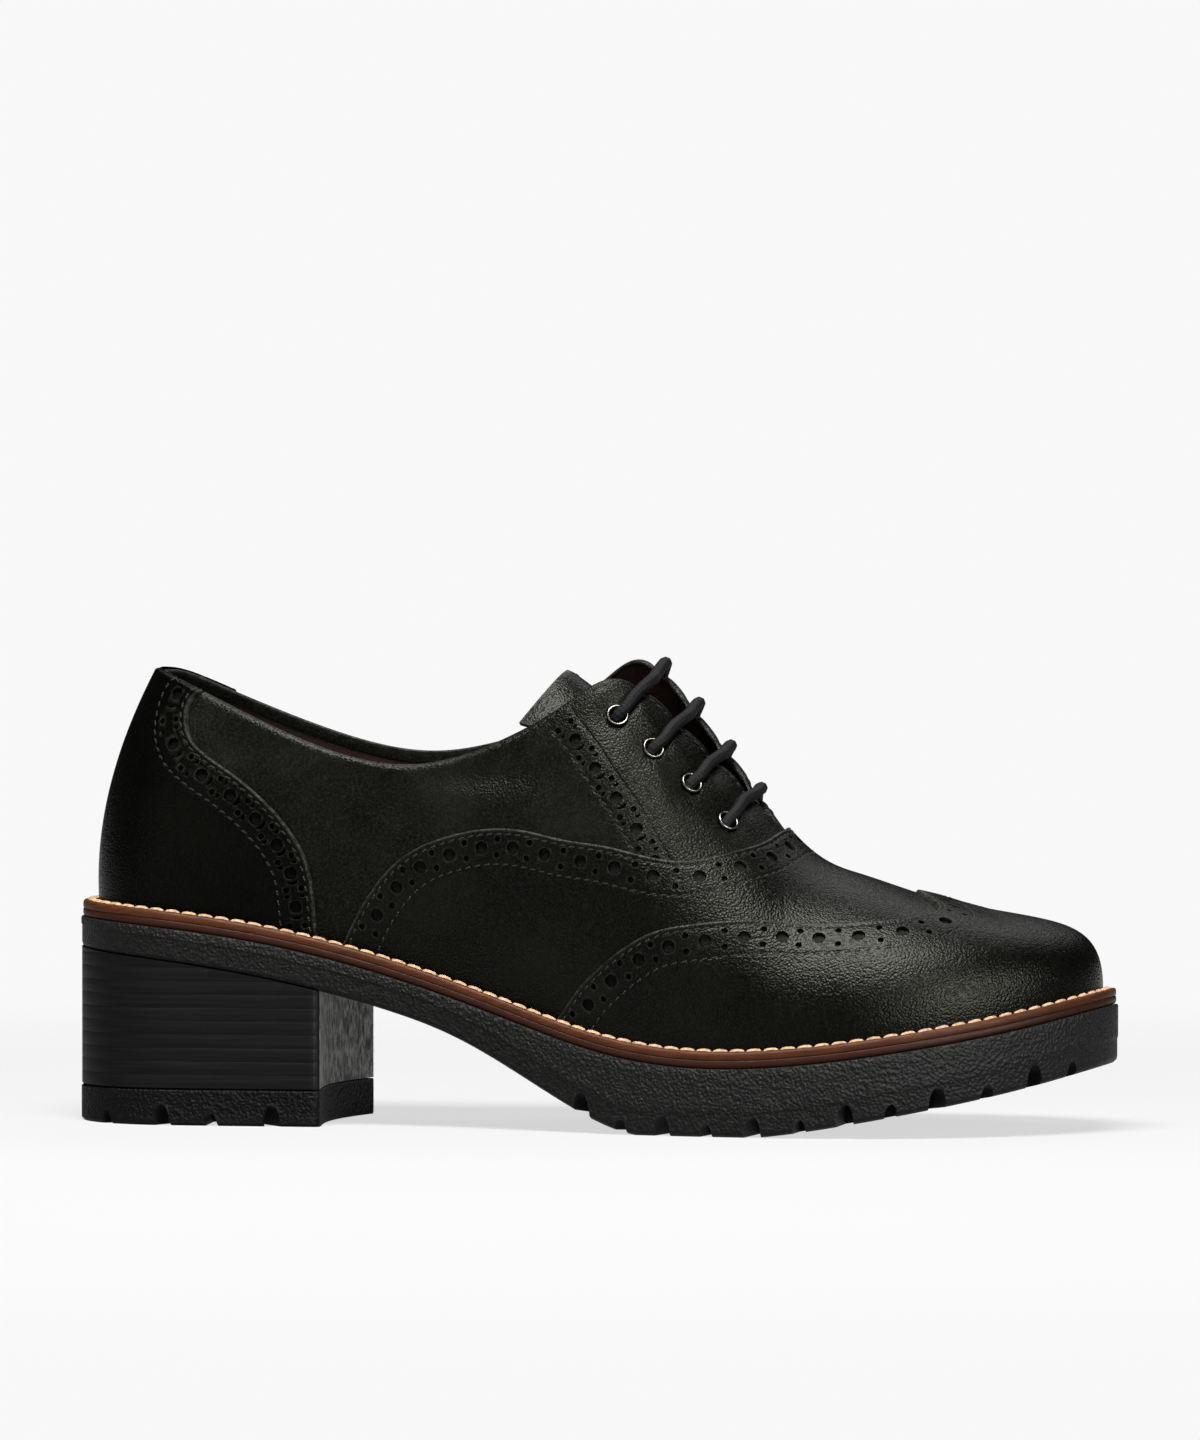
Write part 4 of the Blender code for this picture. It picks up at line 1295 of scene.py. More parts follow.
@dataclass(frozen=True)
class Overlay:
    """A leather overlay with a folded, raised edge and a brogued border along it."""

    name: str
    band: Band
    below: float
    lift: float
    first_hole: int
    front_end: float = 1.0
    edge_rows: tuple[float, ...] = (0.0, 0.03, 0.12, 0.30, 0.55)
    edge_rise: tuple[float, ...] = (-0.25, 0.42, 0.74, 0.93, 1.0)
    band_rows: int = 23
    first_row: float = 0.8
    outer_stitch: float = 1.45
    inner_stitch: float = 9.2
    groove: float = 0.16
    groove_half: float = 0.4
    worn_half: float = 0.55
    body_rows: int = 26
    toe_columns: int = 40
    large_at: float = 4.8
    # Under the collar's roll the leather thins to this, from this share up
    tucked: float = 0.25
    tuck_share: float = 0.975

    @property
    def distances(self) -> Array:
        """Distances of the border's rows from the edge."""
        return np.concatenate([self.edge_rows, self.first_row + BROGUE.cell * np.arange(self.band_rows)])

    def heights(self) -> Array:
        """Heights of the border's rows: a rounded edge, then flat, with a groove under each stitch line.

        Returns:
            A height for each row.
        """
        d = self.distances
        rise = np.concatenate([self.edge_rise, np.ones(self.band_rows)])
        height = self.below + (self.lift - self.below) * rise
        for line in (self.outer_stitch, self.inner_stitch):
            height = height - self.groove * bell((d - line) / self.groove_half)
        return height

    def row_of(self, distance: float) -> int:
        """The border row nearest a distance from the edge."""
        return int(np.argmin(np.abs(self.distances - distance)))

    def wear(self) -> Array:
        """Paler leather on the folded edge."""
        return bell(self.distances / self.worn_half)[:, None]

    def tuck(self, share: Array) -> Array:
        """How far the leather is tucked in next to the collar."""
        thinned = np.maximum(self.lift - self.tucked, 0.0)
        return thinned * smooth((share - self.tuck_share) / (1 - self.tuck_share))

    def sew(self, threads: Surface, points: Array, normals: Array, share: Array) -> None:
        """Two stitch lines along the border, above the welt."""
        for line in (self.outer_stitch, self.inner_stitch):
            row = self.row_of(line)
            seen = share[row] > 0.0
            FINE_STITCH.sew(threads, points[row][seen], normals[row][seen])

    def punch(self, points: Array, normals: Array, share: Array, middle: int) -> dict[str, Array]:
        """Punches the border's holes and returns the marks of their floors, for painted shade, and of the
        folded edge's wear and the holes' rims, the rims for a painted highlight.
        """
        row = self.row_of(self.large_at)
        pit, rim = BROGUE.pattern(points, normals, share, row, middle, self.first_hole)
        # Painted shade on the holes' floors; edge wear on the fold, and a painted highlight on the holes'
        # rims
        return {"pit": pit, "wear": np.maximum(self.wear(), BROGUE.rim_wear_and_highlight * rim)}

    def border(self, side: Side) -> tuple[Array, Array, Array, Array]:
        """The border of one side.

        Args:
            side: which side.

        Returns:
            Grids of its points, normals, places along the side and places on the ribs.
        """
        along, share = self.band.lines(side, self.distances)
        around = side.round(along)
        normals = LAST.normal(around, share)
        points = LAST.point(around, share) + self.heights()[:, None, None] * normals
        return points, normals, along, share

    def front(self, surface: Surface, threads: Surface) -> None:
        """A sheet over the shoe's front: borders of both sides, joined on the ridge, and the body below.

        Args:
            surface: the mesh that takes the leather.
            threads: the mesh that takes its stitches.
        """
        halves = [self.border(side) for side in Side]
        joined = [np.concatenate([a, b[:, -2::-1]], axis=1) for a, b in zip(*halves)]
        points, normals, _, share = joined
        middle = halves[0][0].shape[1] - 1
        marks = self.punch(points, normals, share, middle)
        surface.grid(points, flip=True, **marks)
        self.sew(threads, points, normals, share)
        steps = np.linspace(0.0, 1.0, self.body_rows)[:, None]
        for side, (_, _, along, share) in zip(Side, halves):
            ahead = np.linspace(along[-1, -1], self.front_end, self.toe_columns)
            for line, start in ((along[-1], share[-1]), (ahead, np.ones_like(ahead))):
                down = start + (LOWEST - start) * steps
                body = LAST.raised(side.round(line), down, np.full(down.shape, self.lift))
                surface.grid(body, flip=side is Side.LATERAL)

    def back(self, surface: Surface, threads: Surface) -> None:
        """A sheet round the heel, from one side's border to the other's, tucked in at the collar.

        Args:
            surface: the mesh that takes the leather.
            threads: the mesh that takes its stitches.
        """
        for side in Side:
            points, normals, along, share = self.border(side)
            points = points - self.tuck(share)[..., None] * normals
            marks = self.punch(points, normals, share, points.shape[1] - 1)
            surface.grid(points, flip=side is Side.MEDIAL, **marks)
            self.sew(threads, points, normals, share)
            steps = np.linspace(1.0, 0.0, self.body_rows)[:, None]
            inward = along[-1] * steps
            level = share[-1] + 0 * steps
            body = LAST.raised(side.round(inward), level, self.lift - self.tuck(level))
            surface.grid(body, flip=side is Side.MEDIAL)


# Upper

# Eyelets of one side as (along, share), from the top down
EYELETS: Table = ((0.542, 0.850), (0.573, 0.790), (0.607, 0.765), (0.638, 0.715))
# How far each bar of lace drifts along from its eyelet to the facing's edge: lateral, medial
LACE_DRIFT: Table = ((0.0155, 0.009), (0.018, 0.013), (0.0175, 0.014), (0.016, 0.0145))


def lace_lean(part: Array) -> Array:
    """The share of its drift that a bar has made at a part of its way: the mean of part and its root."""
    return (part + np.sqrt(np.maximum(part, 0.0))) / 2


def eyelet_places() -> Array:
    """Places of all eyelets round the shoe, lateral ones first, from the top down."""
    return np.array(list(EYELETS) + [(2 - around, share) for around, share in EYELETS])


@dataclass
class Upper:
    """Quarters, lining, overlays and the brogued strip beside the facing."""

    # Leather of the quarters, lightened with painted sheen; of the vamp and toe cap; and of the counter,
    # darkened with painted shade
    calf: Material
    panel: Material
    counter_painted_shade: Material
    lining: Material
    thread: Material
    wall: float = 1.8
    # The collar's and facings' rims: height and depth of the outer bend, drop of the inner one, length
    # of the leather folded to the inside and its thickness, and the share of paler colour on the bend,
    # which is edge wear with a painted highlight
    collar_roll: float = 2.4
    facing_roll: float = 1.0
    roll_in: float = 1.4
    roll_drop: float = 0.5
    collar_fold: float = 3.2
    facing_fold: float = 1.3
    fold_leather: float = 0.25
    rim_wear_and_highlight: float = 0.45
    rim_wear_and_highlight_rows: float = 4.0
    # Places along a side: where collar turns into facing and over how far, the closer columns, the end
    corner: float = 0.44
    corner_reach: float = 0.06
    fine_from: float = 0.42
    facing_end: float = 0.679
    # The lining's overlap under the folded leather, and the end of the heel's pocket along a side
    lining_overlap: float = 0.6
    pocket_end: float = 0.125
    pocket_fade: float = 0.006
    counter: Overlay = Overlay(
        name="heel_counter", below=0.0, lift=1.35, first_hole=14,
        band=Band(turn=-1, line=(
            (0.275, 0.00), (0.271, 0.22), (0.262, 0.38), (0.238, 0.53), (0.213, 0.61), (0.186, 0.66),
            (0.160, 0.69), (0.141, 0.73), (0.129, 0.80), (0.126, 0.89), (0.138, 1.00),
        )),
    )
    vamp: Overlay = Overlay(
        name="vamp", below=0.0, lift=1.35, first_hole=0, front_end=0.93,
        band=Band(turn=1, line=(
            (0.296, 0.00), (0.310, 0.20), (0.323, 0.34), (0.345, 0.50), (0.373, 0.60), (0.410, 0.64),
            (0.455, 0.60), (0.505, 0.51), (0.550, 0.465), (0.595, 0.49), (0.630, 0.565), (0.661, 0.70),
            (0.674, 0.85), (0.680, 1.00),
        )),
    )
    toe_cap: Overlay = Overlay(
        name="toe_cap", below=1.35, lift=2.7, first_hole=12,
        band=Band(turn=1, mitre=1.25, turning=14.0, line=(
            (0.478, 0.00), (0.501, 0.115), (0.521, 0.177), (0.547, 0.238), (0.573, 0.288), (0.600, 0.325),
            (0.636, 0.368), (0.683, 0.425), (0.738, 0.470), (0.779, 0.502), (0.808, 0.555), (0.832, 0.65),
            (0.845, 0.80), (0.850, 1.00),
        )),
    )
    # Centre line of the brogued strip, from under the vamp up to the collar
    strip_line: Table = (
        (0.578, 0.44), (0.565, 0.50), (0.552, 0.562), (0.535, 0.638), (0.517, 0.75), (0.495, 0.90),
        (0.487, 0.965),
    )
    strip_half: float = 3.8
    strip_rows: int = 20
    strip_lift: float = 0.30
    strip_sunk: float = 0.08
    strip_first_hole: int = 26
    # The bed under the strip: depth, how far its foot lies in from the strip's border, and its slope
    strip_bed: float = 1.3
    bed_inset: float = 0.4
    bed_slope: float = 0.7
    bed_samples: int = 60
    # The stitch line beside the lacing: its ends along a side, and its distance from the edge
    seam_ends: tuple[float, float] = (0.43, 0.668)
    seam_inset: float = 2.1
    # The trough under each bar of lace: depth, half width and the part of its way over which it starts
    trough_depth: float = 0.9
    trough_half: float = 2.2
    trough_start: float = 0.3
    # The dimple round each eyelet, and the well that makes room for its barrel
    dimple_depth: float = 0.60
    dimple_half: float = 4.4
    well_depth: float = 2.4
    well_radius: float = 2.75
    well_slope: float = 0.9
    # Soft swellings of the leather between the eyelets, as (along, share), half width and height in mm
    swellings: tuple = (
        ((0.524, 0.93), 4.0, 0.45), ((0.560, 0.90), 4.2, 0.55), ((0.592, 0.86), 4.2, 0.50),
        ((0.625, 0.83), 4.2, 0.45), ((0.654, 0.80), 4.0, 0.35),
    )
    # Soft folds of the quarter: two ends as (along, share), half width in mm and height in mm
    folds: tuple = (
        ((0.270, 0.93), (0.400, 0.60), 7.0, -0.85),
        ((0.330, 0.90), (0.480, 0.62), 6.0, 0.75),
        ((0.390, 0.93), (0.510, 0.72), 5.0, -0.65),
        ((0.300, 0.66), (0.360, 0.30), 8.0, 0.40),
        ((0.515, 0.97), (0.545, 0.70), 3.2, -0.45),
        ((0.560, 0.90), (0.590, 0.58), 3.0, 0.30),
    )

    def relief(self, along: Array, share: Array, points: Array) -> Array:
        """Height of the quarter's folds and swellings, the laces' troughs and the eyelets' dimples.

        A fold is a ridge or trough whose height falls as a bell curve with the distance from its line
        and fades towards both ends as a power of a sine. A swelling is a round bell curve, a trough a
        bell curve across a bar of lace, and a dimple a round one with a well in its middle.

        Args:
            along: places along a side; negative ones take the inner side's lace drift.
            share: places on the ribs.
            points: the surface's points there.

        Returns:
            Heights above the surface.
        """
        along, share = np.broadcast_arrays(along, share)
        lateral = along > 0
        along = np.abs(along)
        height = np.zeros(along.shape)
        here = np.stack([along, share], axis=-1) * SPAN
        for start, end, width, rise in self.folds:
            first, last = np.array(start) * SPAN, np.array(end) * SPAN
            way = last - first
            part = np.clip((here - first) @ way / (way @ way), 0.0, 1.0)
            away = size_of(here - first - part[..., None] * way)
            fade = np.sin(math.pi * np.clip(part, 0.02, 0.98)) ** 0.7
            height += rise * bell(away / width) * fade
        for place, width, rise in self.swellings:
            height += rise * bell(size_of(here - np.array(place) * SPAN) / width)
        for (around, rise), drifts in zip(EYELETS, LACE_DRIFT):
            part = np.clip((share - rise) / (1 - rise), 0.0, 1.0)
            away = np.abs(along - around - np.where(lateral, *drifts) * lace_lean(part)) * SPAN[0]
            trough = self.trough_depth * bell(away / self.trough_half)
            height -= trough * smooth(part / self.trough_start)
        for place in eyelet_places():
            away = size_of(points - LAST.point(*place))
            height -= self.dimple_depth * bell(away / self.dimple_half)
            height -= self.well_depth * smooth((self.well_radius - away) / self.well_slope)
        return height

    def bed(self, points: Array) -> Array:
        """The bed that the brogued strips lie in, so that their holes have room.

        Args:
            points: points of the surface.

        Returns:
            Depths below it.
        """
        away = np.full(points.shape[:-1], np.inf)
        line = np.array(self.strip_line[:-1])
        length = length_along(line * SPAN)
        even = np.linspace(0.0, length[-1], self.bed_samples)
        along, share = (np.interp(even, length, row) for row in line.T)
        for side in Side:
            for place in LAST.point(side.round(along), share):
                away = np.minimum(away, size_of(points - place))
        return self.strip_bed * smooth((self.strip_half - self.bed_inset - away) / self.bed_slope)

    def facing_part(self, along: Array) -> Array:
        """0 along the collar and 1 along the facings, with a soft change at the corner."""
        return smooth((np.abs(along) - self.corner) / self.corner_reach)

    def fold_at(self, along: Array) -> Array:
        """How far the leather is folded over the edge to the inside."""
        return self.collar_fold + (self.facing_fold - self.collar_fold) * self.facing_part(along)

    def build_quarters(self) -> None:
        """Both quarters as one sheet round the heel, with the leather folded over the collar.

        Rows rise along the ribs, bend over the rim in two quarter ellipses and run down inside.
        """
        facing = np.linspace(self.fine_from, self.facing_end, 170)
        collar = np.linspace(-self.fine_from, self.fine_from, 260)
        around = np.concatenate([-facing[:0:-1], collar[:-1], facing])
        climb = LAST.climb(around)
        roll = self.collar_roll + (self.facing_roll - self.collar_roll) * self.facing_part(around)
        top = 1 - roll / climb
        bend = np.linspace(0.0, math.pi / 2, 8)[1:, None]
        part = np.linspace(0.0, 1.0, 84)[:, None]
        share = np.concatenate([LOWEST + (top - LOWEST) * part, top + (1 - top) * np.sin(bend)])
        inset = np.concatenate([0 * part, self.roll_in * (1 - np.cos(bend))])
        flat = LAST.point(around + 0 * share, share)
        normals = LAST.normal(around + 0 * share, share)
        lift = self.relief(around, share, flat) - self.bed(flat) - inset
        outside = flat + lift[..., None] * normals
        edge = LAST.point(around, 1.0)
        rim_normal = LAST.normal(around, 0.98)
        rise = unit(edge - LAST.point(around, LAST.climb_from))
        turn = np.linspace(0.0, math.pi / 2, 5)[1:, None, None]
        depth = self.wall + self.fold_leather
        rim = edge - (self.roll_in + (depth - self.roll_in) * np.sin(turn)) * rim_normal
        rim = rim - self.roll_drop * (1 - np.cos(turn)) * rise
        part = np.array([0.35, 0.7, 1.0])[:, None]
        down = self.roll_drop + (self.fold_at(around) - self.roll_drop) * part
        inner_share = 1 - down / climb
        inner = LAST.raised(around, inner_share, np.full(inner_share.shape, -depth))
        grid = np.concatenate([outside, rim, inner])
        from_rim = np.arange(len(grid))[:, None] - len(share)
        # Paler band round the rim's bend: edge wear with a painted highlight
        wear = self.rim_wear_and_highlight * bell(from_rim / self.rim_wear_and_highlight_rows)
        # The quarters take the calf lightened with painted sheen
        Surface().grid(grid, wear=wear, flip=True).piece(
            "quarters", self.calf, Slot.LEATHER, ["upper"], weld=False,
        )

    def build_lining(self) -> None:
        """Lining of the whole inside, just in from the wall, closed along the vamp's ridge."""
        around = np.linspace(0.0, 2.0, 300, endpoint=False)
        along = np.where(around > 1, 2 - around, around)
        hidden = (self.fold_at(along) - self.lining_overlap) / LAST.climb(around)
        below = np.where(along < LAST.throat, hidden, 0.0)
        share = np.linspace(0.0, 1.0, 46)[:, None] * (1 - below)
        grid = LAST.raised(around, share, np.full(share.shape, -self.wall))
        pocket = 1 - smooth((along - self.pocket_end) / self.pocket_fade)
        Surface().grid(grid, (False, True), pocket=pocket).piece(
            "quarter_lining", self.lining, Slot.LINING,
        )

    def build_overlays(self) -> None:
        """Counter, vamp and winged toe cap, and the threads that sew them down."""
        for overlay in (self.counter, self.vamp, self.toe_cap):
            surface, threads = Surface(), Surface()
            if overlay is self.counter:
                overlay.back(surface, threads)
            else:
                overlay.front(surface, threads)
            # The counter takes the calf darkened with painted shade
            leather = self.counter_painted_shade if overlay is self.counter else self.panel
            surface.piece(overlay.name + "_leather", leather, Slot.LEATHER, [overlay.name])
            threads.piece(overlay.name + "_stitches", self.thread, Slot.LEATHER, weld=False)

    def build_strips(self) -> None:
        """The brogued strips beside the facings, low and flush, with a stitch line along both borders."""
        band = Band(line=self.strip_line, turn=-1, turning=0.01, start=0.0)
        distances = (np.arange(self.strip_rows) - (self.strip_rows - 1) / 2) * BROGUE.cell
        surface, threads = Surface(), Surface()
        swell = self.strip_lift * (1 - (np.abs(distances) / self.strip_half) ** 6) - self.strip_sunk
        for side in Side:
            along, share = band.lines(side, distances)
            around = side.round(along)
            normals = LAST.normal(around, share)
            flat = LAST.point(around, share)
            base = self.relief(along, share, flat)
            points = flat + (base + swell[:, None])[..., None] * normals
            row = self.strip_rows // 2
            last = share.shape[1] - 1
            pit, rim = BROGUE.pattern(points, normals, share, row, last, self.strip_first_hole)
            # Painted shade on the holes' floors and a painted highlight on their rims
            surface.grid(points, pit=pit, wear=BROGUE.rim_wear_and_highlight * rim, flip=side is Side.LATERAL)
            for edge_row in (1, self.strip_rows - 2):
                FINE_STITCH.sew(threads, points[edge_row], normals[edge_row])
        # The strips take the calf lightened with painted sheen
        surface.piece("facing_strips", self.calf, Slot.LEATHER, weld=False)
        threads.piece("facing_strip_stitches", self.thread, Slot.LEATHER, weld=False)

    def build_facing_stitches(self) -> None:
        """A stitch line just below the edge of the facings and of the collar next to them."""
        threads = Surface()
        for side in Side:
            along = np.linspace(*self.seam_ends, 300)
            around = side.round(along)
            share = 1 - self.seam_inset / LAST.climb(around)
            flat = LAST.point(around, share)
            normals = LAST.normal(around, share)
            lift = self.relief(along, share, flat)
            FINE_STITCH.sew(threads, flat + lift[:, None] * normals, normals)
        threads.piece("facing_stitches", self.thread, Slot.LEATHER, weld=False)

    def build(self) -> None:
        """Makes every piece of the upper."""
        self.build_quarters()
        self.build_lining()
        self.build_overlays()
        self.build_strips()
        self.build_facing_stitches()


# Tongue, insole, eyelets and laces

@dataclass
class Tongue:
    """A flap whose sides drop square to its centre line, with a cut edge and a stitch line round its tip."""

    calf: Material
    thread: Material
    thickness: float = 2.0
    # The cut edge: how far it is rounded off, and where that and its wear begin
    round_off: float = 0.35
    rounded_from: float = 0.94
    worn_from: float = 0.93
    # The stitch line in the table's rows from the tip, and in half widths: its start, corners and end row
    seam_start: float = 2.6
    seam_corner: float = 0.35
    seam_end: float = 0.28
    seam_side: float = 0.84
    seam_end_half: float = 0.78
    probe: float = 0.02
    # Station, height, half width, drop of the sides
    table: Table = (
        (198.0, 61.9, 9.0, 3.4), (191.0, 64.2, 11.0, 4.6), (182.0, 70.0, 14.0, 6.0), (172.0, 78.4, 16.0, 7.0),
        (158.0, 91.2, 17.5, 8.0), (146.0, 101.6, 18.0, 9.0), (136.0, 110.0, 18.0, 12.5),
        (127.6, 116.2, 15.5, 16.5),
    )

    def sheet(self, along: Array, beside: Array) -> Array:
        """Points of the flap: its centre line, moved sideways, and down by the drop times beside squared.

        Args:
            along: places along the flap, in rows of its table.
            beside: places across it, -1 to 1.

        Returns:
            The points, in millimetres.
        """
        knots = np.arange(len(self.table), dtype=float)
        dense = np.linspace(0.0, knots[-1], 400)
        values = [spline(knots, column(self.table, k), dense) for k in range(4)]
        run = unit(np.stack([np.gradient(values[0]), np.gradient(values[1])], axis=1))
        read = [np.interp(along, dense, v) for v in (*values, run[:, 0], run[:, 1])]
        station, level, half, drop, run_x, run_z = read
        fall = drop * beside**2
        return np.stack([station - fall * run_z, half * beside, level + fall * run_x], axis=-1)

    def normals(self, along: Array, beside: Array) -> Array:
        """Upward normals of the flap."""
        step = self.probe
        ahead = self.sheet(along + step, beside) - self.sheet(along - step, beside)
        aside = self.sheet(along, beside + step) - self.sheet(along, beside - step)
        normal = unit(np.cross(ahead, aside))
        return normal * np.where(normal[..., 2:] < 0, -1.0, 1.0)

    def build(self) -> None:
        """A closed skin: top, rounded rim and underside, and the stitches near the tip's edge."""
        last = len(self.table) - 1.0
        turn = np.linspace(0.0, 1.0, 161)[:, None]
        across = np.linspace(-1.0, 1.0, 41)[None, :]
        along = np.clip(turn * last, self.probe, last - self.probe) + 0 * across
        beside = across + 0 * turn
        top = self.sheet(along, beside)
        normal = self.normals(along, beside)
        edge = np.maximum(np.abs(across), np.abs(2 * turn - 1))
        round_off = self.round_off * smooth((edge - self.rounded_from) / (1 - self.rounded_from))[..., None]
        surface = Surface()
        upper = top - round_off * normal
        under = top - (self.thickness - round_off) * normal
        surface.grid(upper, wear=smooth((edge - self.worn_from) / (1 - self.worn_from)))
        surface.grid(under, flip=True)
        for end in (0, -1):
            surface.grid(np.stack([upper[:, end], under[:, end]]), flip=end == 0, wear=1.0)
        for end in (0, -1):
            surface.grid(np.stack([upper[end], under[end]]), flip=end == -1, wear=1.0)
        surface.piece("tongue_leather", self.calf, Slot.LEATHER, ["tongue"])
        threads = Surface()
        side = np.linspace(last - self.seam_start, last - self.seam_corner, 80)
        end = np.linspace(-self.seam_end_half, self.seam_end_half, 40)
        along = np.concatenate([side, 0 * end + last - self.seam_end, side[::-1]])
        beside = np.concatenate([0 * side - self.seam_side, end, 0 * side + self.seam_side])
        FINE_STITCH.sew(threads, self.sheet(along, beside), self.normals(along, beside))
        threads.piece("tongue_stitches", self.thread, Slot.LEATHER, weld=False)


@dataclass
class Insole:
    """The sock that lines the footbed, dished along its middle."""

    lining: Material
    above_welt: float = 2.4
    dish: float = 0.9
    wall: float = 1.8
    edge_drop: float = 0.5
    edge_from: float = 0.93

    def build(self) -> None:
        """A closed pad: sections across the shoe whose top is a shallow trough."""
        along = np.linspace(0.0, 1.0, 120)[:, None]
        across = np.linspace(0.0, 1.0, 31)[None, :]
        edges = []
        for side in Side:
            around = side.round(along[:, 0])
            edges.append(LAST.edge(around, LAST.feather_inset(around) + self.wall + 2 * LAST.gap)[0])
        flat = edges[0][:, None] * (1 - across[..., None]) + edges[1][:, None] * across[..., None]
        swing = 2 * across - 1
        roll = self.edge_drop * smooth((np.abs(swing) - self.edge_from) / (1 - self.edge_from))
        top = LAST.welt_top(flat[..., 0]) + self.above_welt - self.dish * (1 - swing**2) - roll
        low = LAST.sole_top(flat[..., 0]) + LAST.gap
        pad = np.concatenate([standing(flat, top), standing(flat, low)[:, ::-1]], axis=1)
        Surface().grid(pad, (False, True)).piece("insole_sock", self.lining, Slot.LINING, ["insole"])


@dataclass
class Eyelets:
    """Turned rings that stand on the facings."""

    metal: Material
    hole: float = 2.15
    barrel: float = 2.4
    flange: float = 2.85
    lip: float = 0.5
    depth: float = 2.6
    sunk: float = 0.25
    neck: float = 0.2
    neck_drop: float = 0.3
    columns: int = 40

    def build(self) -> None:
        """Carries the ring's profile, a rolled lip on a barrel, round its axis for each eyelet."""
        roll = np.linspace(math.pi, 0.0, 11)
        middle = (self.hole + self.flange) / 2
        half = (self.flange - self.hole) / 2
        rise = LAST.gap - self.sunk + (self.lip + self.sunk) * np.sin(roll)
        profile = np.concatenate([
            [[self.hole, -self.depth]],
            np.stack([middle + half * np.cos(roll), rise], axis=1),
            [[self.barrel + self.neck, 0.0], [self.barrel, -self.neck_drop], [self.barrel, -self.depth]],
        ])
        turn = np.linspace(0.0, TURN, self.columns, endpoint=False)
        radius, level = profile[:, 0, None], profile[:, 1, None]
        ring = np.stack([radius * np.cos(turn), radius * np.sin(turn), level + 0 * turn], axis=-1)
        wear = np.clip(level / (LAST.gap + self.lip), 0.0, 1.0) ** 2
        count = len(EYELETS)
        for number, (around, share) in enumerate(eyelet_places()):
            side = "lateral" if number < count else "medial"
            up = LAST.normal(around, share)
            across = unit(np.cross(up, UP))
            axes = np.stack([across, np.cross(up, across), up])[None]
            place = (LAST.point(around, share) - self.sunk * up)[None]
            node = f"eyelet_{side}_{number % count + 1}"
            Surface().copies(ring, axes, place, (True, True), wear=wear).piece(
                node + "_ring", self.metal, Slot.METAL, [node],
            )


@dataclass
class Laces:
    """Four bars of round cord, each coming up through its two eyelets."""

    cord: Material
    diameter: float = 3.0
    crown: float = 0.2
    plaits: int = 8
    weave_pitch: float = 2.1
    relief: float = 0.08
    rows: int = 260
    columns: int = 32
    # Parts of the way from the eyelet to the facing's edge, and the centre line's lift there
    stops: Table = ((-0.14, -2.6), (0.0, -0.7), (0.18, 0.3), (0.50, 0.7), (1.0, 1.0))
    # Which way the crown between the facings stands off
    crown_way: Place = (0.5, 0.0, 1.0)

    def path(self, number: int) -> Array:
        """A bar's centre line: up through one eyelet, over both facings' edges, down the other eyelet.

        Args:
            number: which bar, 0 at the top.

        Returns:
            The line's points.
        """
        around, share = EYELETS[number]
        part, lift = np.array(self.stops).T
        halves = []
        for side, drift in zip(Side, LACE_DRIFT[number]):
            place = side.round(around + drift * lace_lean(part))
            halves.append(LAST.raised(place, share + part * (1 - share), lift))
        top = (halves[0][-1] + halves[1][-1]) / 2 + np.array(self.crown_way) * self.crown
        return curve_through(np.concatenate([halves[0], top[None], halves[1][::-1]]), self.rows)

    def weave(self, along: Array, turn: Array) -> Array:
        """Relief of the plaits: two sets of spiral ridges crossing each other."""
        wind = TURN * along / self.weave_pitch
        swing = self.plaits / 2 * turn
        return self.relief * np.cos(swing + wind) * np.cos(swing - wind)

    def build(self) -> None:
        """Carries the woven round along each path."""
        for number in range(len(EYELETS)):
            path = self.path(number)
            grid, lumps = tube(path, self.diameter / 2, self.columns, self.weave)
            ends = [np.repeat(path[i][None, None], self.columns, axis=1) for i in (0, -1)]
            closed = np.concatenate([ends[0], grid, ends[1]])
            # Weave mark, high on the crowns and low in the grooves, for the cord's painted light and shade
            weave = np.concatenate([lumps[:1] * 0, lumps / self.relief * 0.5 + 0.5, lumps[:1] * 0])
            node = f"lace_bar_{number + 1}"
            Surface().grid(closed, (False, True), weave=weave).piece(
                node + "_cord", self.cord, Slot.CORD, [node],
            )


# Bottom unit

@dataclass(frozen=True)
class Notch:
    """An arch cut into the tread's edge: width, height and how far it runs in."""

    width: float
    height: float
    reach: float
    straight: float = 0.12
    clear: float = 0.01
    end_turn: float = 0.03
    bow_columns: int = 11

    def lift(self, away: Array) -> Array:
        """Height of the arch at distances from its middle: a half ellipse on short straight sides."""
        half = self.width / 2
        bow = np.sqrt(np.maximum(1 - (away / half) ** 2, 0.0))
        arch = self.height * (self.straight + (1 - self.straight) * bow)
        return np.where(np.abs(away) < half - 1e-6, arch, 0.0)

    def columns(self) -> Array:
        """Distances from the middle where the mesh needs a column."""
        half = self.width / 2
        bow = half * np.cos(np.linspace(self.end_turn, math.pi - self.end_turn, self.bow_columns))
        return np.concatenate([[-half - self.clear], bow[::-1], [half + self.clear]])


DEEP = Notch(4.4, 5.4, 17.0)
SHALLOW = Notch(3.3, 3.3, 10.0)
WELT_STITCH = Stitch(
    length=4.2, width=1.7, height=1.05, pitch=4.3, slant=10.0, sunk=-0.12, rows=8, columns=8,
)
Spot = tuple[float, Notch]


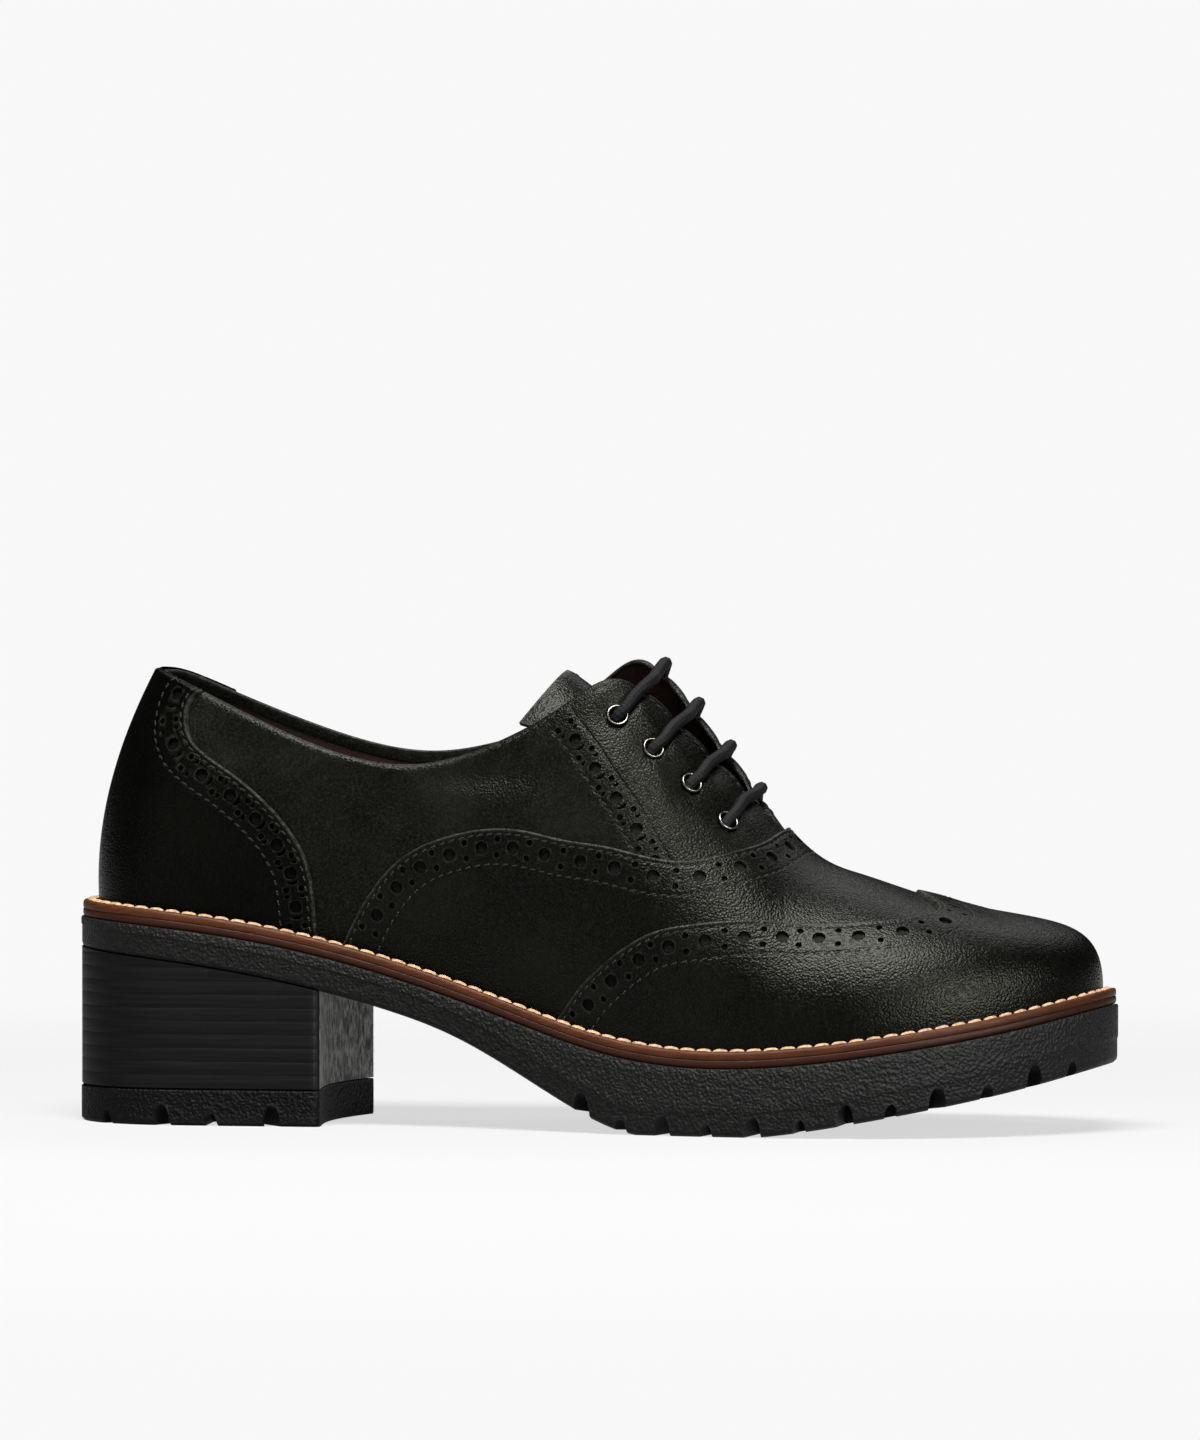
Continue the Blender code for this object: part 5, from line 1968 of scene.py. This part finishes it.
@dataclass
class Bottom:
    """Outsole, heel and welt."""

    crepe: Material
    lift: Material
    stack: Material
    strip: Material
    thread: Material
    sole_notches: tuple[float, ...] = (
        140.0, 150.5, 161.5, 173.0, 185.0, 197.0, 208.5, 220.0, 231.0, 242.5, 253.0, 261.0,
    )
    heel_notches: tuple[float, ...] = (12.5, 28.5, 41.5, 57.5)
    edge_samples: int = 4001
    tread_band: float = 6.0
    least_side: float = 2.0
    # Rows down the sole's side: inset, part of the way from the top to the tread band, drop, crepe mark
    side_rows: Table = (
        (0.60, 0.00, 0.00, 1.0), (0.18, 0.00, 0.16, 1.0), (0.00, 0.00, 0.60, 1.0), (0.00, 0.20, 0.48, 1.0),
        (0.00, 0.40, 0.36, 1.0), (0.00, 0.60, 0.24, 1.0), (0.00, 0.80, 0.12, 1.0), (0.00, 0.96, 0.02, 1.0),
        (0.12, 1.00, 0.00, 1.0), (0.22, 1.00, 0.35, 0.9),
    )
    # Rows along its underside: inset, and the least height above the tread, which bevels the edge
    under_rows: Table = (
        (0.22, 1.3), (0.45, 0.5), (1.3, 0.0), (4.0, 0.0), (SHALLOW.reach - 0.02, 0.0), (SHALLOW.reach, 0.0),
        (13.0, 0.0), (DEEP.reach - 0.02, 0.0), (DEEP.reach, 0.0),
    )
    # Rows nearer the edge than this belong to the sole's side: crepe marks of these and of the rest
    side_inset: float = 0.3
    side_crepe: float = 0.7
    under_crepe: float = 0.1
    breast: float = 69.5
    breast_hollow: float = 3.5
    breast_corner: float = 2.0
    heel_set_back: float = 0.2
    # The heel block: its layers, the grooves' depth and half height, the chamfer and the top's clearance
    stack_step: float = 3.4
    stack_end: float = 46.0
    groove: float = 0.06
    groove_half: float = 0.22
    chamfer: float = 0.35
    clearance: float = 0.02
    least_layer: float = 0.05
    # The rubber lift: height, set back, inset of its top and underside, rounding, bevel of its lower edge
    top_piece: float = 9.2
    lift_set_back: float = 0.08
    lift_inset: float = 0.5
    lift_round: float = 0.5
    lift_bevel: float = 0.7
    lift_hollow_end: float = 0.52
    welt_set_back: float = 0.5
    welt_overlap: float = 2.4
    seam_inset: float = 2.1
    # The welt's section: inset from its own edge, height above the sole's top, 1 for the upper layer
    welt_edge: Table = (
        (0.9, 0.02, 0.0), (0.35, 0.16, 0.0), (0.06, 0.55, 0.0), (0.0, 1.0, 0.0), (0.02, 1.75, 0.0),
        (0.16, 2.0, 0.0), (0.28, 2.1, 0.0), (0.10, 2.22, 1.0), (0.02, 2.5, 1.0), (0.02, 3.2, 1.0),
        (0.12, 3.75, 1.0), (0.42, 4.12, 1.0), (0.9, 4.28, 1.0), (2.0, 4.3, 0.8), (3.6, 4.3, 0.6),
    )
    # The same under the upper: height and layer
    welt_back: Table = ((4.3, 0.5), (0.02, 0.0))

    def sole_edge(self, side: Side, inset: float = 0.0) -> tuple[Array, Array]:
        """One side of the sole's edge in plan, set in, and the distances along it."""
        along = np.linspace(0.0, 1.0, self.edge_samples)
        flat = LAST.edge(side.round(along), inset)[0]
        return flat, length_along(flat)

    def spots(self, stations: tuple[float, ...], side: Side, kinds: tuple[Notch, Notch]) -> list[Spot]:
        """Where notches sit along one side of the sole's edge.

        Args:
            stations: their stations.
            side: which side.
            kinds: the two kinds that take turns.

        Returns:
            Distances along the edge, and the kind of each.
        """
        flat, run = self.sole_edge(side)
        return [
            (float(run[np.argmin(np.abs(flat[:, 0] - station))]), kinds[i % 2])
            for i, station in enumerate(stations)
        ]

    def build_outsole(self) -> None:
        """One closed skin: sections across the shoe, with arches lifted out of the lower edge.

        Each half section runs from the middle of the top over the edge and down the side, then in
        along the underside, where the arch's height holds as far as the notch reaches.
        """
        run = {side: self.sole_edge(side)[1][-1] for side in Side}
        spots = {side: self.spots(self.sole_notches, side, (DEEP, SHALLOW)) for side in Side}
        columns = [np.linspace(0.0, 1.0, 230)]
        for side in Side:
            columns += [(place + notch.columns()) / run[side] for place, notch in spots[side]]
        along = np.unique(np.clip(np.concatenate(columns), 0.0, 1.0))
        middle = (LAST.edge(along)[0] + LAST.edge(2 - along)[0]) / 2
        surface = Surface()
        for side in Side:
            around = side.round(along)
            arches = [(notch.lift(along * run[side] - place), notch.reach) for place, notch in spots[side]]
            # Each row: its points, crepe mark and notch mark, which paints shade inside the notches
            rows = [(standing(middle, LAST.sole_top(middle[:, 0])), 0.0, 0 * along)]
            for inset, part, drop, mark in self.side_rows:
                flat = LAST.edge(around, inset)[0]
                high = LAST.sole_top(flat[:, 0])
                band = np.minimum(LAST.underside(flat[:, 0]) + self.tread_band, high - self.least_side)
                rows.append((standing(flat, high * (1 - part) + band * part - drop), mark, 0 * along))
            for inset, least in self.under_rows:
                flat = LAST.edge(around, inset)[0]
                arch = sum(np.where(inset < reach, lift, 0.0) for lift, reach in arches)
                level = LAST.underside(flat[:, 0]) + np.maximum(arch, least)
                under = inset > self.side_inset
                mark = self.under_crepe if under else self.side_crepe
                rows.append((standing(flat, level), mark, (arch > least) * float(under)))
            low = LAST.underside(middle[:, 0])
            rows.append((standing(middle, low), self.under_crepe, 0 * along))
            points, crepe, notch_shade = (np.array(values) for values in zip(*rows))
            surface.grid(points, crepe=crepe[:, None], notch=notch_shade, flip=side is Side.MEDIAL)
        surface.piece("outsole_rubber", self.crepe, Slot.RUBBER, ["outsole"], sharp=35.0)

    def heel_plan(self, inset: float, stations: Array) -> tuple[Array, Array]:
        """Plan of the heel, set in by some millimetres, and the mark of its concave front.

        Args:
            inset: how far the plan lies in from the sole's edge.
            stations: places along both sides, from the back, as shares of the way to the front corner.

        Returns:
            Points round the plan, and 1 on its front.
        """
        corner = self.breast_corner
        bend = np.linspace(0.0, math.pi / 2, 6)[1:-1]
        runs, turns = [], []
        for side in Side:
            flat, run = self.sole_edge(side, inset)
            end = np.argmax(flat[:, 0] > self.breast - corner)
            runs.append(resampled(flat[:end + 1], stations * run[end]))
            turn = np.stack([corner * np.sin(bend), side.value * corner * (1 - np.cos(bend))], axis=1)
            turns.append(runs[-1][-1] + turn)
        across = np.linspace(0.0, 1.0, 31)
        y = (runs[0][-1][1] + corner) * (1 - across) + (runs[1][-1][1] - corner) * across
        front = np.stack([self.breast - self.breast_hollow * np.sin(math.pi * across), y], axis=1)
        plan = np.concatenate([runs[0], turns[0], front, turns[1][::-1], runs[1][:0:-1]])
        on_front = np.zeros(len(plan))
        start = len(runs[0]) + len(turns[0])
        on_front[start:start + len(front)] = 1.0
        return plan, on_front

    def build_heel_block(self) -> None:
        """The plan carried up, with a fine groove at each layer, and its top cut to the sole's underside."""
        stations = np.linspace(0.0, 1.0, 90)
        plan, front = self.heel_plan(self.heel_set_back, stations)
        groove, _ = self.heel_plan(self.heel_set_back + self.groove, stations)
        middle = plan.mean(axis=0) + 0 * plan
        top = LAST.arch(plan[:, 0]) - self.clearance
        base = self.top_piece + LAST.gap + 0 * top
        rows = [(middle, base), (groove, base), (plan, base + self.chamfer)]
        layer = ((plan, -self.groove_half), (groove, 0.0), (plan, self.groove_half))
        for level in np.arange(base[0] + self.stack_step, self.stack_end, self.stack_step):
            rows += [(shape, np.minimum(level + rise, top - self.least_layer)) for shape, rise in layer]
        rows += [(plan, top), (middle, top.mean() + 0 * top)]
        grid = np.stack([standing(flat, level) for flat, level in rows])
        Surface().grid(grid, (False, True), breast=front).piece(
            "heel_block_stack", self.stack, Slot.HEEL, ["heel_block"], sharp=30.0,
        )

    def build_top_piece(self) -> None:
        """The rubber lift under the heel: the plan carried down, arches lifted out of its lower edge."""
        flat, run = self.sole_edge(Side.LATERAL)
        end = run[np.argmax(flat[:, 0] > self.breast - self.breast_corner)]
        spots = self.spots(self.heel_notches, Side.LATERAL, (SHALLOW, DEEP))
        columns = [(place + notch.columns()) / end for place, notch in spots]
        stations = np.unique(np.clip(np.concatenate([np.linspace(0.0, 1.0, 70), *columns]), 0.0, 1.0))
        plan, _ = self.heel_plan(self.lift_set_back, stations)
        tight, _ = self.heel_plan(self.heel_set_back + self.lift_inset, stations)
        arch = np.zeros(len(plan))
        count = len(stations)
        for place, notch in spots:
            lift = notch.lift(stations * end - place)
            arch[:count] += lift
            arch[-(count - 1):] += lift[:0:-1]
        middle = plan.mean(axis=0) + 0 * plan
        solid, notch_shade = 0 * arch, (arch > 0).astype(float)
        top = self.top_piece + solid
        shoulder = top - self.lift_round
        bevel = np.maximum(arch, self.lift_bevel)
        under = self.under_crepe
        # Each row: its plan, height, crepe mark and notch mark, which paints shade inside the notches
        rows = [(middle, top, 0.0, solid), (tight, top, 0.6, solid), (plan, shoulder, 1.0, solid)]
        rows += [(plan, shoulder * (1 - part) + bevel * part, 1.0, solid) for part in (0.35, 0.7)]
        rows.append((plan, bevel, 0.3, solid))
        for part in (0.0, 0.25, 0.5):
            rows.append((tight * (1 - part) + middle * part, arch, under, notch_shade))
        inner = tight * (1 - self.lift_hollow_end) + middle * self.lift_hollow_end
        rows += [(inner, solid, under, solid), (middle, solid, under, solid)]
        shapes, levels, crepe, notch = (np.array(values) for values in zip(*rows))
        grid = standing(shapes, levels)
        Surface().grid(grid, (False, True), crepe=crepe[:, None], notch=notch, flip=True).piece(
            "heel_top_piece_rubber", self.lift, Slot.RUBBER, ["heel_top_piece"], sharp=35.0,
        )

    def build_welt(self) -> None:
        """The welt: two layers with a groove between, carried round the sole's edge, and its stitches."""
        around = np.linspace(0.0, 2.0, 640, endpoint=False)
        back = LAST.feather_inset(around) + self.welt_overlap
        profile = [(self.welt_set_back + inset, *rest) for inset, *rest in self.welt_edge]
        profile += [(back, *rest) for rest in self.welt_back]
        rows = []
        for inset, level, _ in profile:
            flat = LAST.edge(around, inset)[0]
            rows.append(standing(flat, LAST.sole_top(flat[:, 0]) + level))
        layer = np.array([upper for _, _, upper in profile])[:, None]
        Surface().grid(np.stack(rows), (True, True), layer=layer, flip=True).piece(
            "welt_strip", self.strip, Slot.WELT, ["welt"],
        )
        flat, _ = LAST.edge(np.linspace(0.0, 2.0, 1600), self.welt_set_back + self.seam_inset)
        seam = standing(flat, LAST.welt_top(flat[:, 0]))
        threads = Surface()
        WELT_STITCH.sew(threads, seam, np.broadcast_to(UP, seam.shape))
        threads.piece("welt_stitches", self.thread, Slot.WELT, weld=False)

    def build(self) -> None:
        """Makes every piece of the bottom."""
        self.build_outsole()
        self.build_heel_block()
        self.build_top_piece()
        self.build_welt()


# Studio

def put(thing: Object, place: Place, aim: Place) -> None:
    """Sets a lamp or camera at a place, turned to a point."""
    thing.location = place
    thing.rotation_euler = (Vector(aim) - Vector(place)).to_track_quat("-Z", "Y").to_euler()


@dataclass(frozen=True)
class Lamp:
    """A soft box: its place, the point it is turned to, size and power; a sheen one shows in gloss alone."""

    name: str
    place: Place
    aim: Place
    size: tuple[float, float]
    power: float
    sheen_only: bool = False

    def build(self) -> None:
        """Adds the soft box to the scene."""
        data = bpy.data.lights.new(self.name, "AREA")
        data.shape = "RECTANGLE"
        data.size, data.size_y = self.size
        data.energy = self.power
        lamp = into_scene(self.name, data)
        put(lamp, self.place, self.aim)
        lamp.visible_diffuse = not self.sheen_only


@dataclass
class Studio:
    """Pale floor, soft lights and the camera at the photograph's angle."""

    backdrop: float = 0.94
    ambient: float = 0.02
    # The floor: its share of even light at the shoe, its own grey, half width, and where the light takes over
    floor_glow: float = 0.69
    floor_shade: float = 0.43
    floor_half: float = 6.0
    glow_from: float = 0.20
    glow_full: float = 0.70
    lamps: tuple[Lamp, ...] = (
        Lamp("front", (0.02, -0.66, 1.45), (0.05, 0.0, 0.05), (1.0, 0.50), 56.0),
        Lamp("back", (0.10, 1.10, 1.15), (0.0, 0.0, 0.05), (1.4, 0.6), 7.0),
        Lamp("fill", (-1.0, -1.28, 0.26), (0.0, 0.0, 0.06), (0.6, 0.25), 3.4),
        Lamp("right", (1.4, -0.8, 0.6), (0.05, 0.0, 0.05), (0.6, 0.6), 6.0),
        Lamp("overhead_sheen", (-0.05, -0.36, 1.55), (0.05, 0.0, 0.05), (0.9, 0.8), 72.0, sheen_only=True),
        Lamp("toe_sheen", (1.20, -1.05, 0.52), (0.05, 0.0, 0.05), (1.1, 0.55), 62.0, sheen_only=True),
        Lamp("back_sheen", (0.10, 1.10, 1.15), (0.0, 0.0, 0.05), (1.4, 0.6), 7.0, sheen_only=True),
    )
    camera_place: Place = (0.43465, -1.95144, 0.12743)
    target: Place = (0.0018, 0.00101, 0.103)
    lens: float = 196.0
    sight: float = 50.0

    def build_floor(self) -> None:
        """A pale floor that turns into even white light a little way from the shoe."""
        reach = np.linspace(-self.floor_half, self.floor_half, 25)
        across, along = np.meshgrid(reach, reach)
        points = np.stack([across, along, np.zeros_like(across)], axis=-1).reshape(-1, 3)
        quads = quads_of(np.arange(len(points)).reshape(across.shape).T)
        mesh = bpy.data.meshes.new("floor")
        mesh.from_pydata(points.tolist(), [], quads.tolist())
        paint = Paint("floor")
        away = paint.node(
            "ShaderNodeVectorMath", {"operation": "LENGTH"}, {0: paint.scaled((1.0, 1.0, 0.0))}, "Value",
        )
        paint.done(base_color=(self.floor_shade,) * 3, roughness=0.9, specular_ior_level=0.0)
        light = paint.node("ShaderNodeEmission", {}, {"Color": (self.backdrop,) * 3})
        glow = self.floor_glow + away.between(self.glow_from, self.glow_full) * (1 - self.floor_glow)
        matt = Wire(paint, paint.shader.outputs[0])
        blend = paint.node("ShaderNodeMixShader", {}, {0: glow, 1: matt, 2: light})
        paint.feed(paint.tree.nodes["Material Output"].inputs["Surface"], blend)
        mesh.materials.append(paint.material)
        floor = into_scene("floor", mesh)

    def build_world(self) -> None:
        """White where the camera looks past the floor, dim studio elsewhere."""
        world = bpy.data.worlds.new("studio")
        bpy.context.scene.world = world
        world.use_nodes = True
        nodes, links = world.node_tree.nodes, world.node_tree.links
        seen = nodes.new("ShaderNodeLightPath")
        blend = nodes.new("ShaderNodeMix")
        blend.data_type = "RGBA"
        blend.inputs[6].default_value = (self.ambient,) * 3 + (1.0,)
        blend.inputs[7].default_value = (self.backdrop,) * 3 + (1.0,)
        links.new(seen.outputs["Is Camera Ray"], blend.inputs[0])
        links.new(blend.outputs[2], nodes["Background"].inputs["Color"])

    def build_camera(self) -> None:
        """A long lens, 12.5 degrees round from a square side view and almost level."""
        data = bpy.data.cameras.new("camera")
        data.lens = self.lens
        data.clip_end = self.sight
        camera = into_scene("camera", data)
        put(camera, self.camera_place, self.target)
        bpy.context.scene.camera = camera

    def build(self) -> None:
        """Sets up the studio."""
        self.build_floor()
        self.build_world()
        self.build_camera()
        for lamp in self.lamps:
            lamp.build()
        bpy.context.scene.view_settings.view_transform = "Standard"


def main() -> None:
    """Builds the studio and the shoe, piece by piece."""
    logging.basicConfig(level=logging.INFO, format="%(name)s: %(message)s")
    Studio().build()
    calf = QUARTER_CALF_PAINTED_SHEEN.material()
    panel = Calf().material()
    counter_painted_shade = COUNTER_CALF_PAINTED_SHADE.material()
    lining = Lining().material()
    crepe = Crepe().material()
    lift = LIFT_RUBBER.material()
    black_thread = BLACK_THREAD.material()
    cream_thread = CREAM_THREAD.material()
    Bottom(crepe, lift, Stack().material(), WeltStrip().material(), cream_thread).build()
    Upper(calf, panel, counter_painted_shade, lining, black_thread).build()
    Tongue(panel, black_thread).build()
    Insole(lining).build()
    Eyelets(Gunmetal().material()).build()
    Laces(Cord().material()).build()


if __name__ == "__main__":
    main()
